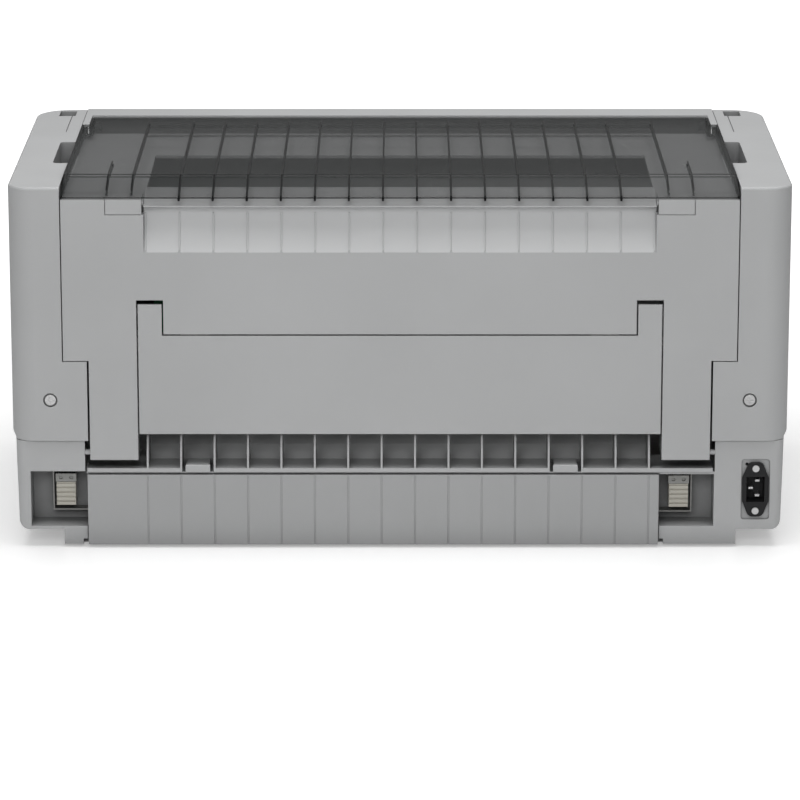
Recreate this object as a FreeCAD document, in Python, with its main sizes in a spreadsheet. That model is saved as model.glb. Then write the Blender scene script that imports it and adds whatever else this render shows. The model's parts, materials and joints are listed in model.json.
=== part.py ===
import FreeCAD, Part
import math
import os
import Sketcher

# A wide dot matrix printer. Millimetres, +Z up, origin at the centre of the footprint on the table.
# The operator stands at -Y, and paper comes in and out at the back, +Y.

SIZES = {
    # casing as a whole
    "body_width": 708.0,
    "body_depth": 378.0,
    "body_top": 337.0,
    "wall": 3.0,
    "seam": 0.8,
    "run_gap": 0.4,
    "overrun": 2.0,
    "pin_clearance": 0.05,
    # side housings
    "housing_width": 47.5,
    "housing_bottom": 101.4,
    "housing_rear_corner": 22.0,
    "housing_front_corner": 34.0,
    "housing_edge": 2.5,
    "housing_bevel_width": 3.5,
    "housing_bevel_height": 4.8,
    "housing_bevel_lip": 2.2,
    "housing_foot_gap": 1.8,
    "shoulder_height": 176.5,
    "finger_recess_width": 14.0,
    "finger_recess_length": 101.0,
    "finger_recess_depth": 20.0,
    "finger_recess_rear": 111.0,
    "finger_recess_corner": 5.0,
    "notch_gap": 9.5,
    "notch_width": 16.0,
    "notch_length": 25.0,
    "notch_depth": 10.0,
    "notch_front": 10.0,
    "slit_gap": 12.6,
    "slit_width": 1.0,
    "slit_length": 80.0,
    "slit_depth": 1.0,
    "housing_screw_inset": 36.1,
    "housing_screw_height": 139.7,
    "screw_head_radius": 5.0,
    "screw_head_thickness": 2.2,
    "screw_shank_radius": 2.0,
    "screw_shank_length": 8.0,
    "screw_ring_radius": 6.5,
    "screw_ring_depth": 3.0,
    "screw_slot_length": 6.0,
    "screw_slot_width": 1.2,
    "screw_slot_depth": 1.2,
    # lower case
    "base_inset": 3.0,
    "base_side_inset": 3.5,
    "base_draft": 2.2,
    "base_round": 9.0,
    "base_bottom": 17.0,
    "base_corner": 9.0,
    "skirt_margin": 1.1,
    "skirt_bottom": 3.0,
    "recess_depth": 34.0,
    "recess_bottom": 20.0,
    "recess_top": 72.0,
    "high_recess_margin": 16.5,
    "low_recess_margin": 0.5,
    "trough_inset": 19.0,
    "trough_depth": 62.0,
    "foot_radius": 11.0,
    "foot_inset": 56.5,
    "foot_reach": 49.0,
    # lower rear panel
    "panel_high_inset": 21.2,
    "panel_low_inset": 70.1,
    "panel_top": 69.3,
    "panel_thickness": 9.0,
    "panel_notch_width": 4.0,
    "panel_notch_height": 5.0,
    "groove_width": 1.6,
    "groove_depth": 0.4,
    # rear paper guide
    "fin_pitch": 30.5,
    "fin_thickness": 1.8,
    "fin_top": 118.0,
    "fin_depth": 40.0,
    "guide_shift": 1.5,
    "guide_margin": 2.0,
    "guide_lip_bottom": 71.7,
    "guide_lip_top": 75.4,
    "guide_lip_depth": 10.0,
    "guide_depth": 35.0,
    "guide_ramp_top": 150.0,
    "guide_ramp_reach": 77.0,
    "clip_width": 22.5,
    "clip_height": 7.0,
    "clip_depth": 23.0,
    "clip_round": 1.5,
    "clip_slot_depth": 33.0,
    # rear cover
    "cover_gap": 1.0,
    "rear_cover_fall": 11.5,
    "leg_gap": 5.1,
    "leg_bottom": 83.5,
    "leg_depth": 40.0,
    "rear_barrel_radius": 6.0,
    "rear_pin_radius": 2.5,
    "rear_pin_reach": 8.0,
    "scoop_inset": 75.3,
    "scoop_bottom": 277.0,
    "scoop_depth": 12.0,
    "scoop_rise": 6.4,
    "guide_rib_thickness": 1.2,
    "guide_rib_pitch": 30.6,
    # rear flap
    "flap_inset": 69.3,
    "flap_bottom": 108.0,
    "flap_top": 200.0,
    "flap_ear_width": 21.6,
    "flap_ear_top": 229.0,
    "flap_ear_gap": 4.0,
    "flap_seam": 1.4,
    "flap_pivot_height": 221.0,
    "flap_pivot_inset": 6.0,
    "flap_pin_radius": 2.0,
    "flap_pin_reach": 7.0,
    "flap_boss_radius": 4.0,
    # smoked cover
    "smoke_gap": 1.3,
    "smoke_thickness": 2.5,
    "smoke_rear_fall": 10.1,
    "smoke_crease_rise": 4.0,
    "smoke_crease_inset": 39.7,
    "smoke_front_inset": 43.5,
    "smoke_front_rise": 1.0,
    "smoke_front_corner": 8.0,
    "smoke_jog": 7.3,
    "smoke_jog_inset": 87.5,
    "smoke_side_drop": 11.0,
    "smoke_rib_thickness": 2.2,
    "smoke_rib_depth": 2.5,
    "smoke_rib_front": 70.0,
    "smoke_outer_rib": 64.5,
    "smoke_outer_rib_stop": 10.0,
    "smoke_short_rib": 42.0,
    "smoke_short_rib_inset": 104.0,
    "smoke_pivot_inset": 48.0,
    "smoke_pivot_drop": 9.0,
    "smoke_pin_radius": 2.5,
    "smoke_pin_reach": 2.6,
    "smoke_ear_width": 8.0,
    "smoke_cross_rib_far": 78.0,
    "smoke_cross_rib_near": 125.0,
    # top deck and paper exit
    "deck_fall": 14.0,
    "deck_thickness": 3.0,
    "deck_front_inset": 53.0,
    "exit_rear_inset": 70.0,
    "exit_front_inset": 160.0,
    "ramp_inset": 75.6,
    "ramp_crest_rise": 6.0,
    "ramp_crest_inset": 38.8,
    "ramp_knee_fall": 2.6,
    "ramp_knee_inset": 10.0,
    "ramp_knee_thickness": 1.5,
    "ramp_edge_fall": 3.2,
    "ramp_edge_thickness": 1.0,
    "tab_outer_inset": 41.4,
    "tab_side_gap": 1.5,
    "tab_height": 13.3,
    "tab_reach": 30.0,
    "tab_gap": 0.6,
    # front: fascia, cover and paper door
    "front_cover_bottom": 190.0,
    "front_cover_rise": 1.5,
    "front_cover_edge": 5.0,
    "front_arm_reach": 85.2,
    "front_arm_gap": 1.2,
    "front_barrel_radius": 5.0,
    "front_pin_radius": 2.5,
    "front_pin_reach": 2.6,
    "door_inset": 76.5,
    "door_bottom": 26.0,
    "door_top": 88.0,
    "door_pin_radius": 2.0,
    "door_pin_reach": 2.6,
    "door_barrel_radius": 4.0,
    "door_grip_width": 70.0,
    "door_grip_height": 8.0,
    # operator's panel, right of the front
    "bezel_inset": 101.5,
    "bezel_width": 170.0,
    "bezel_height": 56.0,
    "bezel_thickness": 1.5,
    "panel_centre_height": 146.0,
    "window_width": 62.0,
    "window_height": 18.0,
    "window_thickness": 1.5,
    "button_width": 16.0,
    "button_height": 9.0,
    "button_pitch": 26.0,
    "button_skirt": 2.0,
    "bezel_sink": 1.2,
    "button_stem": 8.0,
    "lamp_radius": 1.8,
    "lamp_length": 4.0,
    "lamp_pitch": 12.0,
    "rocker_inset": 54.0,
    "rocker_height": 60.0,
    "rocker_width": 14.0,
    "rocker_length": 24.0,
    "rocker_pin_radius": 1.5,
    "switch_depth": 20.0,
    # mains inlet, at the rear on the -X side
    "inlet_inset": 29.0,
    "inlet_height": 54.8,
    "inlet_pocket_width": 26.0,
    "inlet_pocket_height": 57.0,
    "inlet_pocket_depth": 2.0,
    "inlet_hole_radius": 1.5,
    "inlet_hole_inset": 5.0,
    "inlet_flange_width": 24.0,
    "inlet_flange_height": 51.0,
    "inlet_flange_end": 12.6,
    "inlet_flange_flat": 22.0,
    "inlet_flange_round": 5.5,
    "inlet_flange_thickness": 3.0,
    "inlet_block_width": 22.0,
    "inlet_block_height": 28.0,
    "inlet_block_depth": 24.0,
    "inlet_socket_width": 16.5,
    "inlet_socket_height": 24.0,
    "inlet_socket_depth": 18.0,
    "inlet_screw_pitch": 40.0,
    "inlet_screw_radius": 3.2,
    "inlet_pin_width": 2.0,
    "inlet_pin_height": 4.0,
    "inlet_pin_length": 12.0,
    "inlet_pin_pitch": 14.0,
    "inlet_pin_offset": 4.0,
    # release latches in the rear recesses
    "latch_width": 17.5,
    "latch_height": 21.6,
    "latch_high_inset": 47.6,
    "latch_low_gap": 18.5,
    "latch_high_bottom": 35.9,
    "latch_low_bottom": 34.0,
    "latch_front_inset": 18.0,
    "latch_ridge_depth": 1.4,
    "latch_ridge_count": 5.0,
    "latch_travel": 4.0,
    "latch_stem_width": 7.0,
    "latch_stem_length": 9.0,
    "latch_slot_clearance": 0.4,
    "bracket_thickness": 1.2,
    "bracket_width": 19.0,
    "bracket_height": 7.6,
    "bracket_gap": 0.6,
    "bracket_peg_radius": 1.2,
    "blade_height": 38.0,
    "blade_depth": 12.0,
    "blade_side_gap": 3.0,
    # steel chassis
    "chassis_inset": 16.5,
    "chassis_thickness": 2.0,
    "chassis_rise": 23.0,
    "chassis_front_inset": 60.0,
    "chassis_rear_inset": 70.0,
    "chassis_fall": 23.0,
    "post_radius": 5.0,
    # platen and carriage
    "platen_depth": 12.0,
    "platen_height": 34.0,
    "platen_inset": 173.0,
    "platen_rise": 18.0,
    "rail_radius": 6.0,
    "rail_clearance": 0.05,
    "front_rail_inset": 88.0,
    "rear_rail_inset": 132.0,
    "rail_height": 214.0,
    "carriage_width": 70.0,
    "carriage_height": 22.0,
    "carriage_margin": 10.0,
    "head_width": 40.0,
    "head_depth": 34.0,
    "head_height": 30.0,
    "head_nose_width": 12.0,
    "head_nose_height": 9.0,
    "head_nose_gap": 1.0,
    "head_fin_pitch": 6.0,
    "head_fin_width": 2.5,
    "head_fin_depth": 7.0,
    "head_fin_count": 6.0,
    "ribbon_width": 110.0,
    "ribbon_depth": 46.0,
    "ribbon_height": 14.0,
    "ribbon_wall": 2.0,
    "ribbon_knob_radius": 9.0,
    "ribbon_knob_height": 7.0,
    "ribbon_stem_radius": 3.0,
    "belt_inset": 110.0,
    "belt_drop": 6.0,
    "belt_width": 9.0,
    "belt_thickness": 1.5,
    "belt_clearance": 0.1,
    "pulley_radius": 12.0,
    "pulley_flange": 2.5,
    "pulley_flange_thickness": 1.2,
    "pulley_inset": 44.5,
    "pulley_bore": 3.0,
    "carriage_motor_radius": 24.0,
    "carriage_motor_height": 40.0,
    # paper feed
    "roller_radius": 13.0,
    "roller_inset": 206.0,
    "roller_end_inset": 81.5,
    "roller_shaft_radius": 5.0,
    "roller_height": 226.0,
    "shaft_overhang": 12.0,
    "guide_rod_radius": 4.0,
    "gear_module": 1.5,
    "feed_gear_teeth": 44.0,
    "pinion_teeth": 16.0,
    "gear_width": 8.0,
    "gear_backlash": 0.3,
    "gear_gap": 2.0,
    "feed_motor_radius": 21.0,
    "feed_motor_length": 34.0,
    "tractor_inset": 84.0,
    "tractor_height": 168.0,
    "tractor_side_inset": 116.5,
    "tractor_width": 24.0,
    "tractor_length": 66.0,
    "tractor_thickness": 24.0,
    "tractor_pin_radius": 1.6,
    "tractor_pin_pitch": 12.7,
    "tractor_pin_rise": 2.0,
    "tractor_hub_radius": 8.0,
    "gate_thickness": 3.0,
    "gate_gap": 3.0,
    "gate_hinge_radius": 2.0,
    "feed_pulley_radius": 14.0,
    "feed_pulley_width": 7.0,
    "feed_pulley_gap": 3.0,
    # electronics and fan
    "supply_width": 120.0,
    "supply_depth": 150.0,
    "supply_height": 55.0,
    "supply_inset": 56.5,
    "supply_slot_pitch": 10.0,
    "board_depth": 150.0,
    "board_thickness": 1.6,
    "board_rise": 8.0,
    "board_inset": 96.5,
    "board_gap": 80.0,
    "board_margin": 13.0,
    "board_chip_width": 32.0,
    "board_chip_height": 3.0,
    "fan_size": 60.0,
    "fan_depth": 20.0,
    "fan_margin": 23.2,
    "fan_wall": 3.0,
    "fan_hub_radius": 12.0,
    "fan_blade_count": 7.0,
    "fan_blade_thickness": 2.0,
    "fan_pin_radius": 2.0,
}


class Size:
    """A number together with the sheet expression that gives it."""

    def __init__(self, value, text):
        self.value = float(value)
        self.text = text

    def __add__(self, other):
        return Size(self.value + other.value, f"({self.text} + {other.text})")

    def __sub__(self, other):
        return Size(self.value - other.value, f"({self.text} - {other.text})")

    def __neg__(self):
        return Size(-self.value, f"(-{self.text})")

    def __mul__(self, factor):
        return Size(self.value * factor, f"({self.text} * ({factor}))")

    def __rmul__(self, factor):
        return self * factor

    def __truediv__(self, factor):
        return Size(self.value / factor, f"({self.text} / {factor})")


class Sheet:
    """The driving dimensions, read by name as Size values."""

    def __init__(self, document, values):
        self.cells = document.addObject("Spreadsheet::Sheet", "sizes")
        self.values = values
        for row, (alias, value) in enumerate(values.items(), start=1):
            self.cells.set(f"A{row}", alias)
            self.cells.set(f"B{row}", str(value))
            self.cells.setAlias(f"B{row}", alias)
        document.recompute()

    def __getattr__(self, alias):
        return Size(self.values[alias], f"sizes.{alias}")


doc = FreeCAD.newDocument("dot_matrix_printer")
s = Sheet(doc, SIZES)
# The heights of the top pieces, each from the top of the casing.
s.smoke_crease_height = s.body_top + s.smoke_crease_rise
s.smoke_front_height = s.body_top + s.smoke_front_rise
s.smoke_rear_height = s.body_top - s.smoke_rear_fall
s.rear_cover_top = s.body_top - s.rear_cover_fall
s.deck_height = s.body_top - s.deck_fall
s.ramp_crest_height = s.deck_height + s.ramp_crest_rise
s.ramp_knee_height = s.deck_height - s.ramp_knee_fall
s.ramp_edge_height = s.deck_height - s.ramp_edge_fall
s.tab_bottom = s.rear_cover_top - s.tab_height
s.chassis_top = s.deck_height - s.chassis_fall
ZERO = Size(0, "0")
NODES = {}
AXES = {"x": FreeCAD.Vector(1, 0, 0), "y": FreeCAD.Vector(0, 1, 0), "z": FreeCAD.Vector(0, 0, 1)}
# Turns that lay a cylinder, which is made along Z, along another axis.
LYING = {"x": (AXES["y"], 90), "y": (AXES["x"], -90), "z": (AXES["z"], 0)}
# Sketch planes for an outline that is pushed along an axis, with the side that the pad grows to.
PLANES = {"x": ("YZ_Plane", 1), "y": ("XZ_Plane", -1), "z": ("XY_Plane", 1)}


def rear(inset):
    """The y of a place that lies an inset in front of the rear face."""
    return s.body_depth / 2 - inset


def around(centre, width):
    """The two ends of a width about a centre."""
    return (centre - width / 2, centre + width / 2)


def place(thing, x, y, z):
    for axis, value in (("x", x), ("y", y), ("z", z)):
        thing.setExpression(f"Placement.Base.{axis}", value.text)
    return thing


def box(x, y, z):
    """A block between two places along each axis."""
    block = doc.addObject("Part::Box", "block")
    for side, (low, high) in (("Length", x), ("Width", y), ("Height", z)):
        block.setExpression(side, (high - low).text)
    return place(block, x[0], y[0], z[0])


def rod(axis, radius, ends, first, second):
    """A cylinder along an axis, at two places across it in X, Y, Z order."""
    bar = doc.addObject("Part::Cylinder", "rod")
    bar.setExpression("Radius", radius.text)
    bar.setExpression("Height", (ends[1] - ends[0]).text)
    turn, angle = LYING[axis]
    bar.Placement = FreeCAD.Placement(FreeCAD.Vector(), FreeCAD.Rotation(turn, angle))
    places = [first, second]
    places.insert("xyz".index(axis), ends[0])
    return place(bar, *places)


def fused(*parts):
    if len(parts) == 1:
        return parts[0]
    whole = doc.addObject("Part::MultiFuse", "fused")
    whole.Shapes = list(parts)
    return whole


def carved(base, *tools):
    rest = doc.addObject("Part::Cut", "carved")
    rest.Base = base
    rest.Tool = fused(*tools)
    return rest


def shared(one, other):
    common = doc.addObject("Part::Common", "shared")
    common.Base = one
    common.Tool = other
    return common


def mirrored(source):
    """The same piece on the other side of the middle plane."""
    twin = doc.addObject("Part::Mirroring", "twin")
    twin.Source = source
    twin.Normal = AXES["x"]
    return twin


def prism(axis, outline, ends):
    """An outline pushed along an axis; its points are in the two other axes, in X, Y, Z order."""
    body = doc.addObject("PartDesign::Body", "prism")
    plane, side = PLANES[axis]
    sketch = body.newObject("Sketcher::SketchObject", "outline")
    sketch.AttachmentSupport = [(next(p for p in body.Origin.OriginFeatures if p.Role == plane), "")]
    sketch.MapMode = "FlatFace"
    count = len(outline)
    for here in range(count):
        a, b = outline[here], outline[(here + 1) % count]
        start = FreeCAD.Vector(a[0].value, a[1].value, 0)
        end = FreeCAD.Vector(b[0].value, b[1].value, 0)
        sketch.addGeometry(Part.LineSegment(start, end))
    for here in range(count):
        sketch.addConstraint(Sketcher.Constraint("Coincident", here, 2, (here + 1) % count, 1))
    for here, point in enumerate(outline):
        for kind, value, datum in (("DistanceX", point[0], -2), ("DistanceY", point[1], -1)):
            if value.value == 0:
                sketch.addConstraint(Sketcher.Constraint("PointOnObject", here, 1, datum))
                continue
            row = sketch.addConstraint(Sketcher.Constraint(kind, -1, 1, here, 1, value.value))
            sketch.setExpression(f"Constraints[{row}]", value.text)
    pad = body.newObject("PartDesign::Pad", "pad")
    pad.Profile = sketch
    pad.setExpression("Length", (ends[1] - ends[0]).text)
    origin = {"x": ZERO, "y": ZERO, "z": ZERO}
    origin[axis] = ends[0] if side > 0 else ends[1]
    return place(body, origin["x"], origin["y"], origin["z"])


def softened(base, size, chosen, kind="Part::Fillet"):
    """Rounds or bevels the edges that the test picks."""
    doc.recompute()
    soft = doc.addObject(kind, "softened")
    soft.Base = base
    edges = [n for n, edge in enumerate(base.Shape.Edges, start=1) if chosen(edge)]
    soft.Edges = [(n, size.value, size.value) for n in edges]
    return soft


def runs_along(edge, axis):
    if not isinstance(edge.Curve, Part.Line):
        return False
    return abs(edge.tangentAt(edge.FirstParameter).dot(AXES[axis])) > 0.999


def node(name, thing):
    thing.Label = name
    NODES[name] = thing
    return thing


def tube(axis, outer, inner, ends, first, second):
    past = (ends[0] - s.overrun, ends[1] + s.overrun)
    return carved(rod(axis, outer, ends, first, second), rod(axis, inner, past, first, second))


def steps(count):
    """Places of a row of evenly spaced things about its middle, in pitches."""
    return [n - (count - 1) / 2 for n in range(count)]


def near(value, size):
    return abs(value - size.value) < 0.01


def flat_at(edge, size):
    """True for an edge that lies all along at one height."""
    return near(edge.BoundBox.ZMin, size) and near(edge.BoundBox.ZMax, size)


def front(inset):
    """The y of a place that lies an inset behind the front face."""
    return inset - s.body_depth / 2


def edge_inset(inset):
    """The x of a place that lies an inset inside the casing's +X side."""
    return s.body_width / 2 - inset


def inside(inset):
    """The x of a place that lies an inset inside the +X housing's inner face."""
    return s.body_width / 2 - s.housing_width - inset


def casing_block(inner, outer, front_end, back, bottom, top, corners):
    """A block whose two outer upright edges are rounded, the front and the rear one by their own radii."""
    block = box((inner, outer), (front_end, back), (bottom, top))
    for corner, end in zip(corners, (front_end, back)):
        here = lambda e: runs_along(e, "z") and near(e.BoundBox.XMax, outer) and near(e.BoundBox.YMax, end)
        block = softened(block, corner, here)
    return block


def finger_recess(margin):
    """The hollow beside the smoked cover where a finger lifts it, grown by a margin."""
    inner, top = inside(ZERO), s.body_top
    outer = inner + s.finger_recess_width + margin
    hollow = box(
        (inner - s.overrun, outer),
        (rear(s.finger_recess_rear + s.finger_recess_length + margin), rear(s.finger_recess_rear - margin)),
        (top - s.finger_recess_depth - margin, top + s.overrun),
    )
    outer_edge = lambda e: runs_along(e, "z") and near(e.BoundBox.XMax, outer)
    return softened(hollow, s.finger_recess_corner + margin, outer_edge)


def notch(margin):
    """The deep notch near the front of each housing's top, grown by a margin."""
    low = inside(ZERO) + s.notch_gap
    return box(
        (low - margin, low + s.notch_width + margin),
        (front(s.notch_front - margin), front(s.notch_front + s.notch_length + margin)),
        (s.body_top - s.notch_depth - margin, s.body_top + s.overrun),
    )


def slit():
    """The fine groove that runs back from the notch."""
    start = s.notch_front + s.notch_length
    return box(
        around(inside(ZERO) + s.slit_gap, s.slit_width),
        (front(start - s.overrun), front(start + s.slit_length)),
        (s.body_top - s.slit_depth, s.body_top + s.overrun),
    )


def housing_outline(margin):
    """A housing seen from behind, with the bevel under its outer side, drawn in by a margin."""
    inner, outer = inside(ZERO) + margin, edge_inset(margin)
    low = s.housing_bottom
    waist = low + s.housing_bevel_lip
    return [
        (inner, low - margin),
        (outer - s.housing_bevel_width, low - margin),
        (outer - s.housing_bevel_width, waist),
        (outer, waist + s.housing_bevel_height),
        (outer, s.body_top - margin),
        (inner, s.body_top - margin),
    ]


def side_housing():
    """One end of the casing: a shell open below, with the foot beside the rear cover's leg."""
    inner, outer = inside(ZERO), edge_inset(ZERO)
    ahead, back = front(ZERO), rear(ZERO)
    low, top = s.housing_bottom, s.body_top
    wall = s.wall
    shell = casing_block(inner, outer, ahead, back, low, top, (s.housing_front_corner, s.housing_rear_corner))
    inside_edge = lambda e: near(e.BoundBox.XMax, inner)
    shell = softened(shell, s.housing_edge, lambda e: flat_at(e, top) and not inside_edge(e))
    shell = shared(shell, prism("y", housing_outline(ZERO), (ahead, back)))
    foot = box(
        (leg_outer() + s.housing_foot_gap, inner + wall),
        (rear(s.housing_rear_corner), back),
        (low, s.shoulder_height - s.seam),
    )
    corners = (s.housing_front_corner - wall, s.housing_rear_corner - wall)
    room_ends = (ahead + wall, back - wall, low - wall, top - wall)
    room = casing_block(inner + wall, outer - wall, *room_ends, corners)
    hollow = shared(room, prism("y", housing_outline(wall), (ahead, back)))
    here = (edge_inset(s.housing_screw_inset), s.housing_screw_height)
    boss_ends = (rear(s.screw_shank_length + s.screw_ring_depth + wall), back)
    boss = rod("y", s.screw_ring_radius + wall, boss_ends, *here)
    ring = rod("y", s.screw_ring_radius, (rear(s.screw_ring_depth), back + s.overrun), *here)
    shank_ends = (rear(s.screw_shank_length + s.screw_ring_depth), back)
    shank = rod("y", s.screw_shank_radius, shank_ends, *here)
    wall_ends = (inner - s.overrun, inner + wall + s.overrun)
    smoke_bore = rod("x", s.smoke_pin_radius + s.pin_clearance, wall_ends, *smoke_pivot())
    front_bore = rod("x", s.front_pin_radius + s.pin_clearance, wall_ends, *front_pivot())
    shell = carved(fused(shell, foot), carved(hollow, finger_recess(wall), notch(wall)))
    tools = (finger_recess(ZERO), notch(ZERO), slit(), ring, shank, smoke_bore, front_bore)
    return carved(fused(shell, boss), *tools)


def front_pivot():
    """Place of the front cover's hinge: its barrel is tangent to the front face."""
    return (front(s.front_barrel_radius), s.front_cover_bottom + s.front_barrel_radius)


def rear_pivot():
    """Place of the rear cover's hinge: its barrel is tangent to the rear face."""
    return (rear(s.rear_barrel_radius), s.leg_bottom + s.rear_barrel_radius)


def door_pivot():
    """Place of the paper door's hinge: its barrel is tangent to the lower case's front face."""
    return (base_front() + s.door_barrel_radius, s.door_bottom + s.door_barrel_radius)


def base_front():
    return front(s.base_inset)


def base_rear():
    return rear(s.base_inset)


def cover_half():
    """Half the width of what lies between the housings: rear cover, deck, fascia and front cover."""
    return inside(s.cover_gap)


def trough_half():
    return inside(s.trough_inset)


def leg_outer():
    return trough_half() - s.leg_gap


def skirt_half():
    return inside(ZERO) + s.skirt_margin


def panel_sides():
    """The -X and +X sides of the lower rear panel."""
    return (-inside(s.panel_low_inset), inside(s.panel_high_inset))


def housing_screws():
    """The cross-head screws that hold the side housings at the back."""
    seat = s.screw_ring_depth
    head_ends = (rear(seat), rear(seat - s.screw_head_thickness))
    here = (edge_inset(s.housing_screw_inset), s.housing_screw_height)
    head = rod("y", s.screw_head_radius, head_ends, *here)
    shank = rod("y", s.screw_shank_radius, (rear(seat + s.screw_shank_length), rear(seat)), *here)
    depth = (rear(seat - s.screw_head_thickness + s.screw_slot_depth), rear(ZERO))
    wide = box(around(here[0], s.screw_slot_length), depth, around(here[1], s.screw_slot_width))
    tall = box(around(here[0], s.screw_slot_width), depth, around(here[1], s.screw_slot_length))
    screw = carved(fused(head, shank), wide, tall)
    return fused(screw, mirrored(screw))


def base_block(margin, top):
    """The lower case's outer form: drafted sides, rounded low edges and corners, drawn in by a margin."""
    half = edge_inset(s.base_side_inset) - margin
    low, low_half = s.base_bottom + margin, half - s.base_draft
    ends = (base_front() + margin, base_rear() - margin)
    tapered = prism("y", [(-low_half, low), (low_half, low), (half, top), (-half, top)], ends)
    tapered = softened(tapered, s.base_round - margin, lambda e: runs_along(e, "y") and flat_at(e, low))
    plan = box((-half, half), ends, (low, top))
    plan = softened(plan, s.base_corner - margin, lambda e: runs_along(e, "z"))
    return shared(tapered, plan)


def lower_case():
    """The tray under everything: a deep middle pan, shallow ends, latch recesses and the rear trough."""
    ahead, back = base_front(), base_rear()
    top = s.housing_bottom - s.run_gap
    wall = s.wall
    ends = base_block(ZERO, top)
    pan = box((-skirt_half(), skirt_half()), (ahead, back), (s.skirt_bottom, top))
    pan_half = skirt_half() - wall
    pan_hollow = box((-pan_half, pan_half), (ahead + wall, back - wall), (pan_floor(), top + s.overrun))
    tray = carved(fused(ends, pan), base_block(wall, top + s.overrun), pan_hollow)
    shelf_top, side = s.guide_lip_bottom, trough_half()
    depth = (rear(s.trough_depth), back)
    shelf = box((-side, side), depth, (shelf_top - wall, shelf_top))
    cheek = box((side, side + wall), depth, (shelf_top - wall, top))
    low_side, high_side = panel_sides()
    panel_back = rear(s.panel_thickness + s.seam)
    backing_depth = (panel_back - wall, panel_back)
    backing = box((low_side - wall, high_side + wall), backing_depth, (s.skirt_bottom, shelf_top))
    tray = fused(tray, shelf, cheek, mirrored(cheek), backing, recess_walls(), inlet_walls())
    trough = box((-side, side), (depth[0], back + s.overrun), (shelf_top, top + s.overrun))
    past = (panel_back, back + s.overrun)
    under = s.skirt_bottom - s.overrun
    panel_bay = box((low_side - s.seam, high_side + s.seam), past, (under, s.panel_top + s.seam))
    notched = (low_side - s.seam - s.panel_notch_width, high_side + s.seam + s.panel_notch_width)
    notches = box(notched, past, (under, s.skirt_bottom + s.panel_notch_height))
    door_bay = box(
        (-door_half() - s.seam, door_half() + s.seam),
        (ahead - s.overrun, ahead + wall + s.overrun),
        (s.door_bottom - s.seam, s.door_top + s.seam),
    )
    pin_ends = (-side - wall - s.overrun, side + wall + s.overrun)
    rear_bore = rod("x", s.rear_pin_radius + s.pin_clearance, pin_ends, *rear_pivot())
    tray = carved(tray, trough, panel_bay, notches, door_bay, rear_bore, recess_hollows(), inlet_hollow())
    return carved(fused(tray, door_lugs()), door_bore(), rocker_hole())


def recess_boxes(margin, depth_ends):
    """The two latch recesses at the back, each beside the lower rear panel, grown by a margin."""
    low_side, high_side = panel_sides()
    high = box(
        (high_side + s.seam - margin, edge_inset(s.high_recess_margin) + margin),
        depth_ends,
        (s.recess_bottom - margin, s.recess_top + margin),
    )
    low = box(
        (s.low_recess_margin - trough_half() - margin, low_side - s.seam + margin),
        depth_ends,
        (s.recess_bottom - margin, s.panel_top + margin),
    )
    return high, low


def recess_walls():
    walls = recess_boxes(s.wall, (rear(s.recess_depth + s.wall), base_rear()))
    return fused(*walls)


def recess_hollows():
    """The recesses, with the slot in which each latch's stem slides."""
    hollows = recess_boxes(ZERO, (rear(s.recess_depth), base_rear() + s.overrun))
    slots = []
    for side, bottom in latch_places():
        across = s.latch_stem_width + 2 * s.latch_slot_clearance
        high = bottom + s.latch_height / 2 + across / 2
        low = high - across - s.latch_travel
        depth = (rear(s.recess_depth + s.wall + s.overrun), rear(s.recess_depth - s.overrun))
        slots.append(box(around(side, across), depth, (low, high)))
    return fused(*hollows, *slots)


def latch_places():
    """Middle and bottom of each release latch."""
    high = (edge_inset(s.latch_high_inset), s.latch_high_bottom)
    low = (panel_sides()[0] - s.seam - s.latch_low_gap, s.latch_low_bottom)
    return (high, low)


def door_half():
    return inside(s.door_inset)


def door_lugs():
    """Two lugs behind the door opening that hold its hinge."""
    reach = (base_front(), base_front() + 2 * s.door_barrel_radius)
    height = (s.door_bottom, s.door_bottom + 2 * s.door_barrel_radius)
    low = door_half() + s.seam
    lug = box((low, low + s.wall), reach, height)
    return fused(lug, mirrored(lug))


def door_bore():
    end = door_half() + s.seam + s.wall + s.overrun
    return rod("x", s.door_pin_radius + s.pin_clearance, (-end, end), *door_pivot())


def rocker_side():
    return -edge_inset(s.rocker_inset)


def rocker_hole():
    side = around(rocker_side(), s.rocker_width + 2 * s.seam)
    depth = (base_front() - s.overrun, base_front() + s.wall + s.overrun)
    return box(side, depth, around(s.rocker_height, s.rocker_length + 2 * s.seam))


def inlet_side():
    return -edge_inset(s.inlet_inset)


def inlet_walls():
    """The block behind the inlet's pocket."""
    return box(
        around(inlet_side(), s.inlet_pocket_width + 2 * s.wall),
        (rear(s.base_inset + s.inlet_pocket_depth + s.wall), base_rear()),
        around(s.inlet_height, s.inlet_pocket_height + 2 * s.wall),
    )


def inlet_hollow():
    """The shallow pocket round the inlet, with a small hole in its corner and the block's own hole."""
    pocket = box(
        around(inlet_side(), s.inlet_pocket_width),
        (inlet_face(), base_rear() + s.overrun),
        around(s.inlet_height, s.inlet_pocket_height),
    )
    pocket = softened(pocket, s.wall, lambda e: runs_along(e, "y"))
    through = (inlet_face() - s.wall - s.overrun, base_rear())
    tall = around(s.inlet_height, s.inlet_block_height)
    hole = box(around(inlet_side(), s.inlet_block_width), through, tall)
    corner_x = inlet_side() + s.inlet_pocket_width / 2 - s.inlet_hole_inset
    corner_z = s.inlet_height + s.inlet_pocket_height / 2 - s.inlet_hole_inset
    return fused(pocket, hole, rod("y", s.inlet_hole_radius, through, corner_x, corner_z))


def rubber_feet():
    feet = []
    side = inside(s.foot_inset)
    for x in (-side, side):
        for y in (front(s.foot_reach), rear(s.foot_reach)):
            feet.append(rod("z", s.foot_radius, (ZERO, s.skirt_bottom), x, y))
    return fused(*feet)


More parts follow.
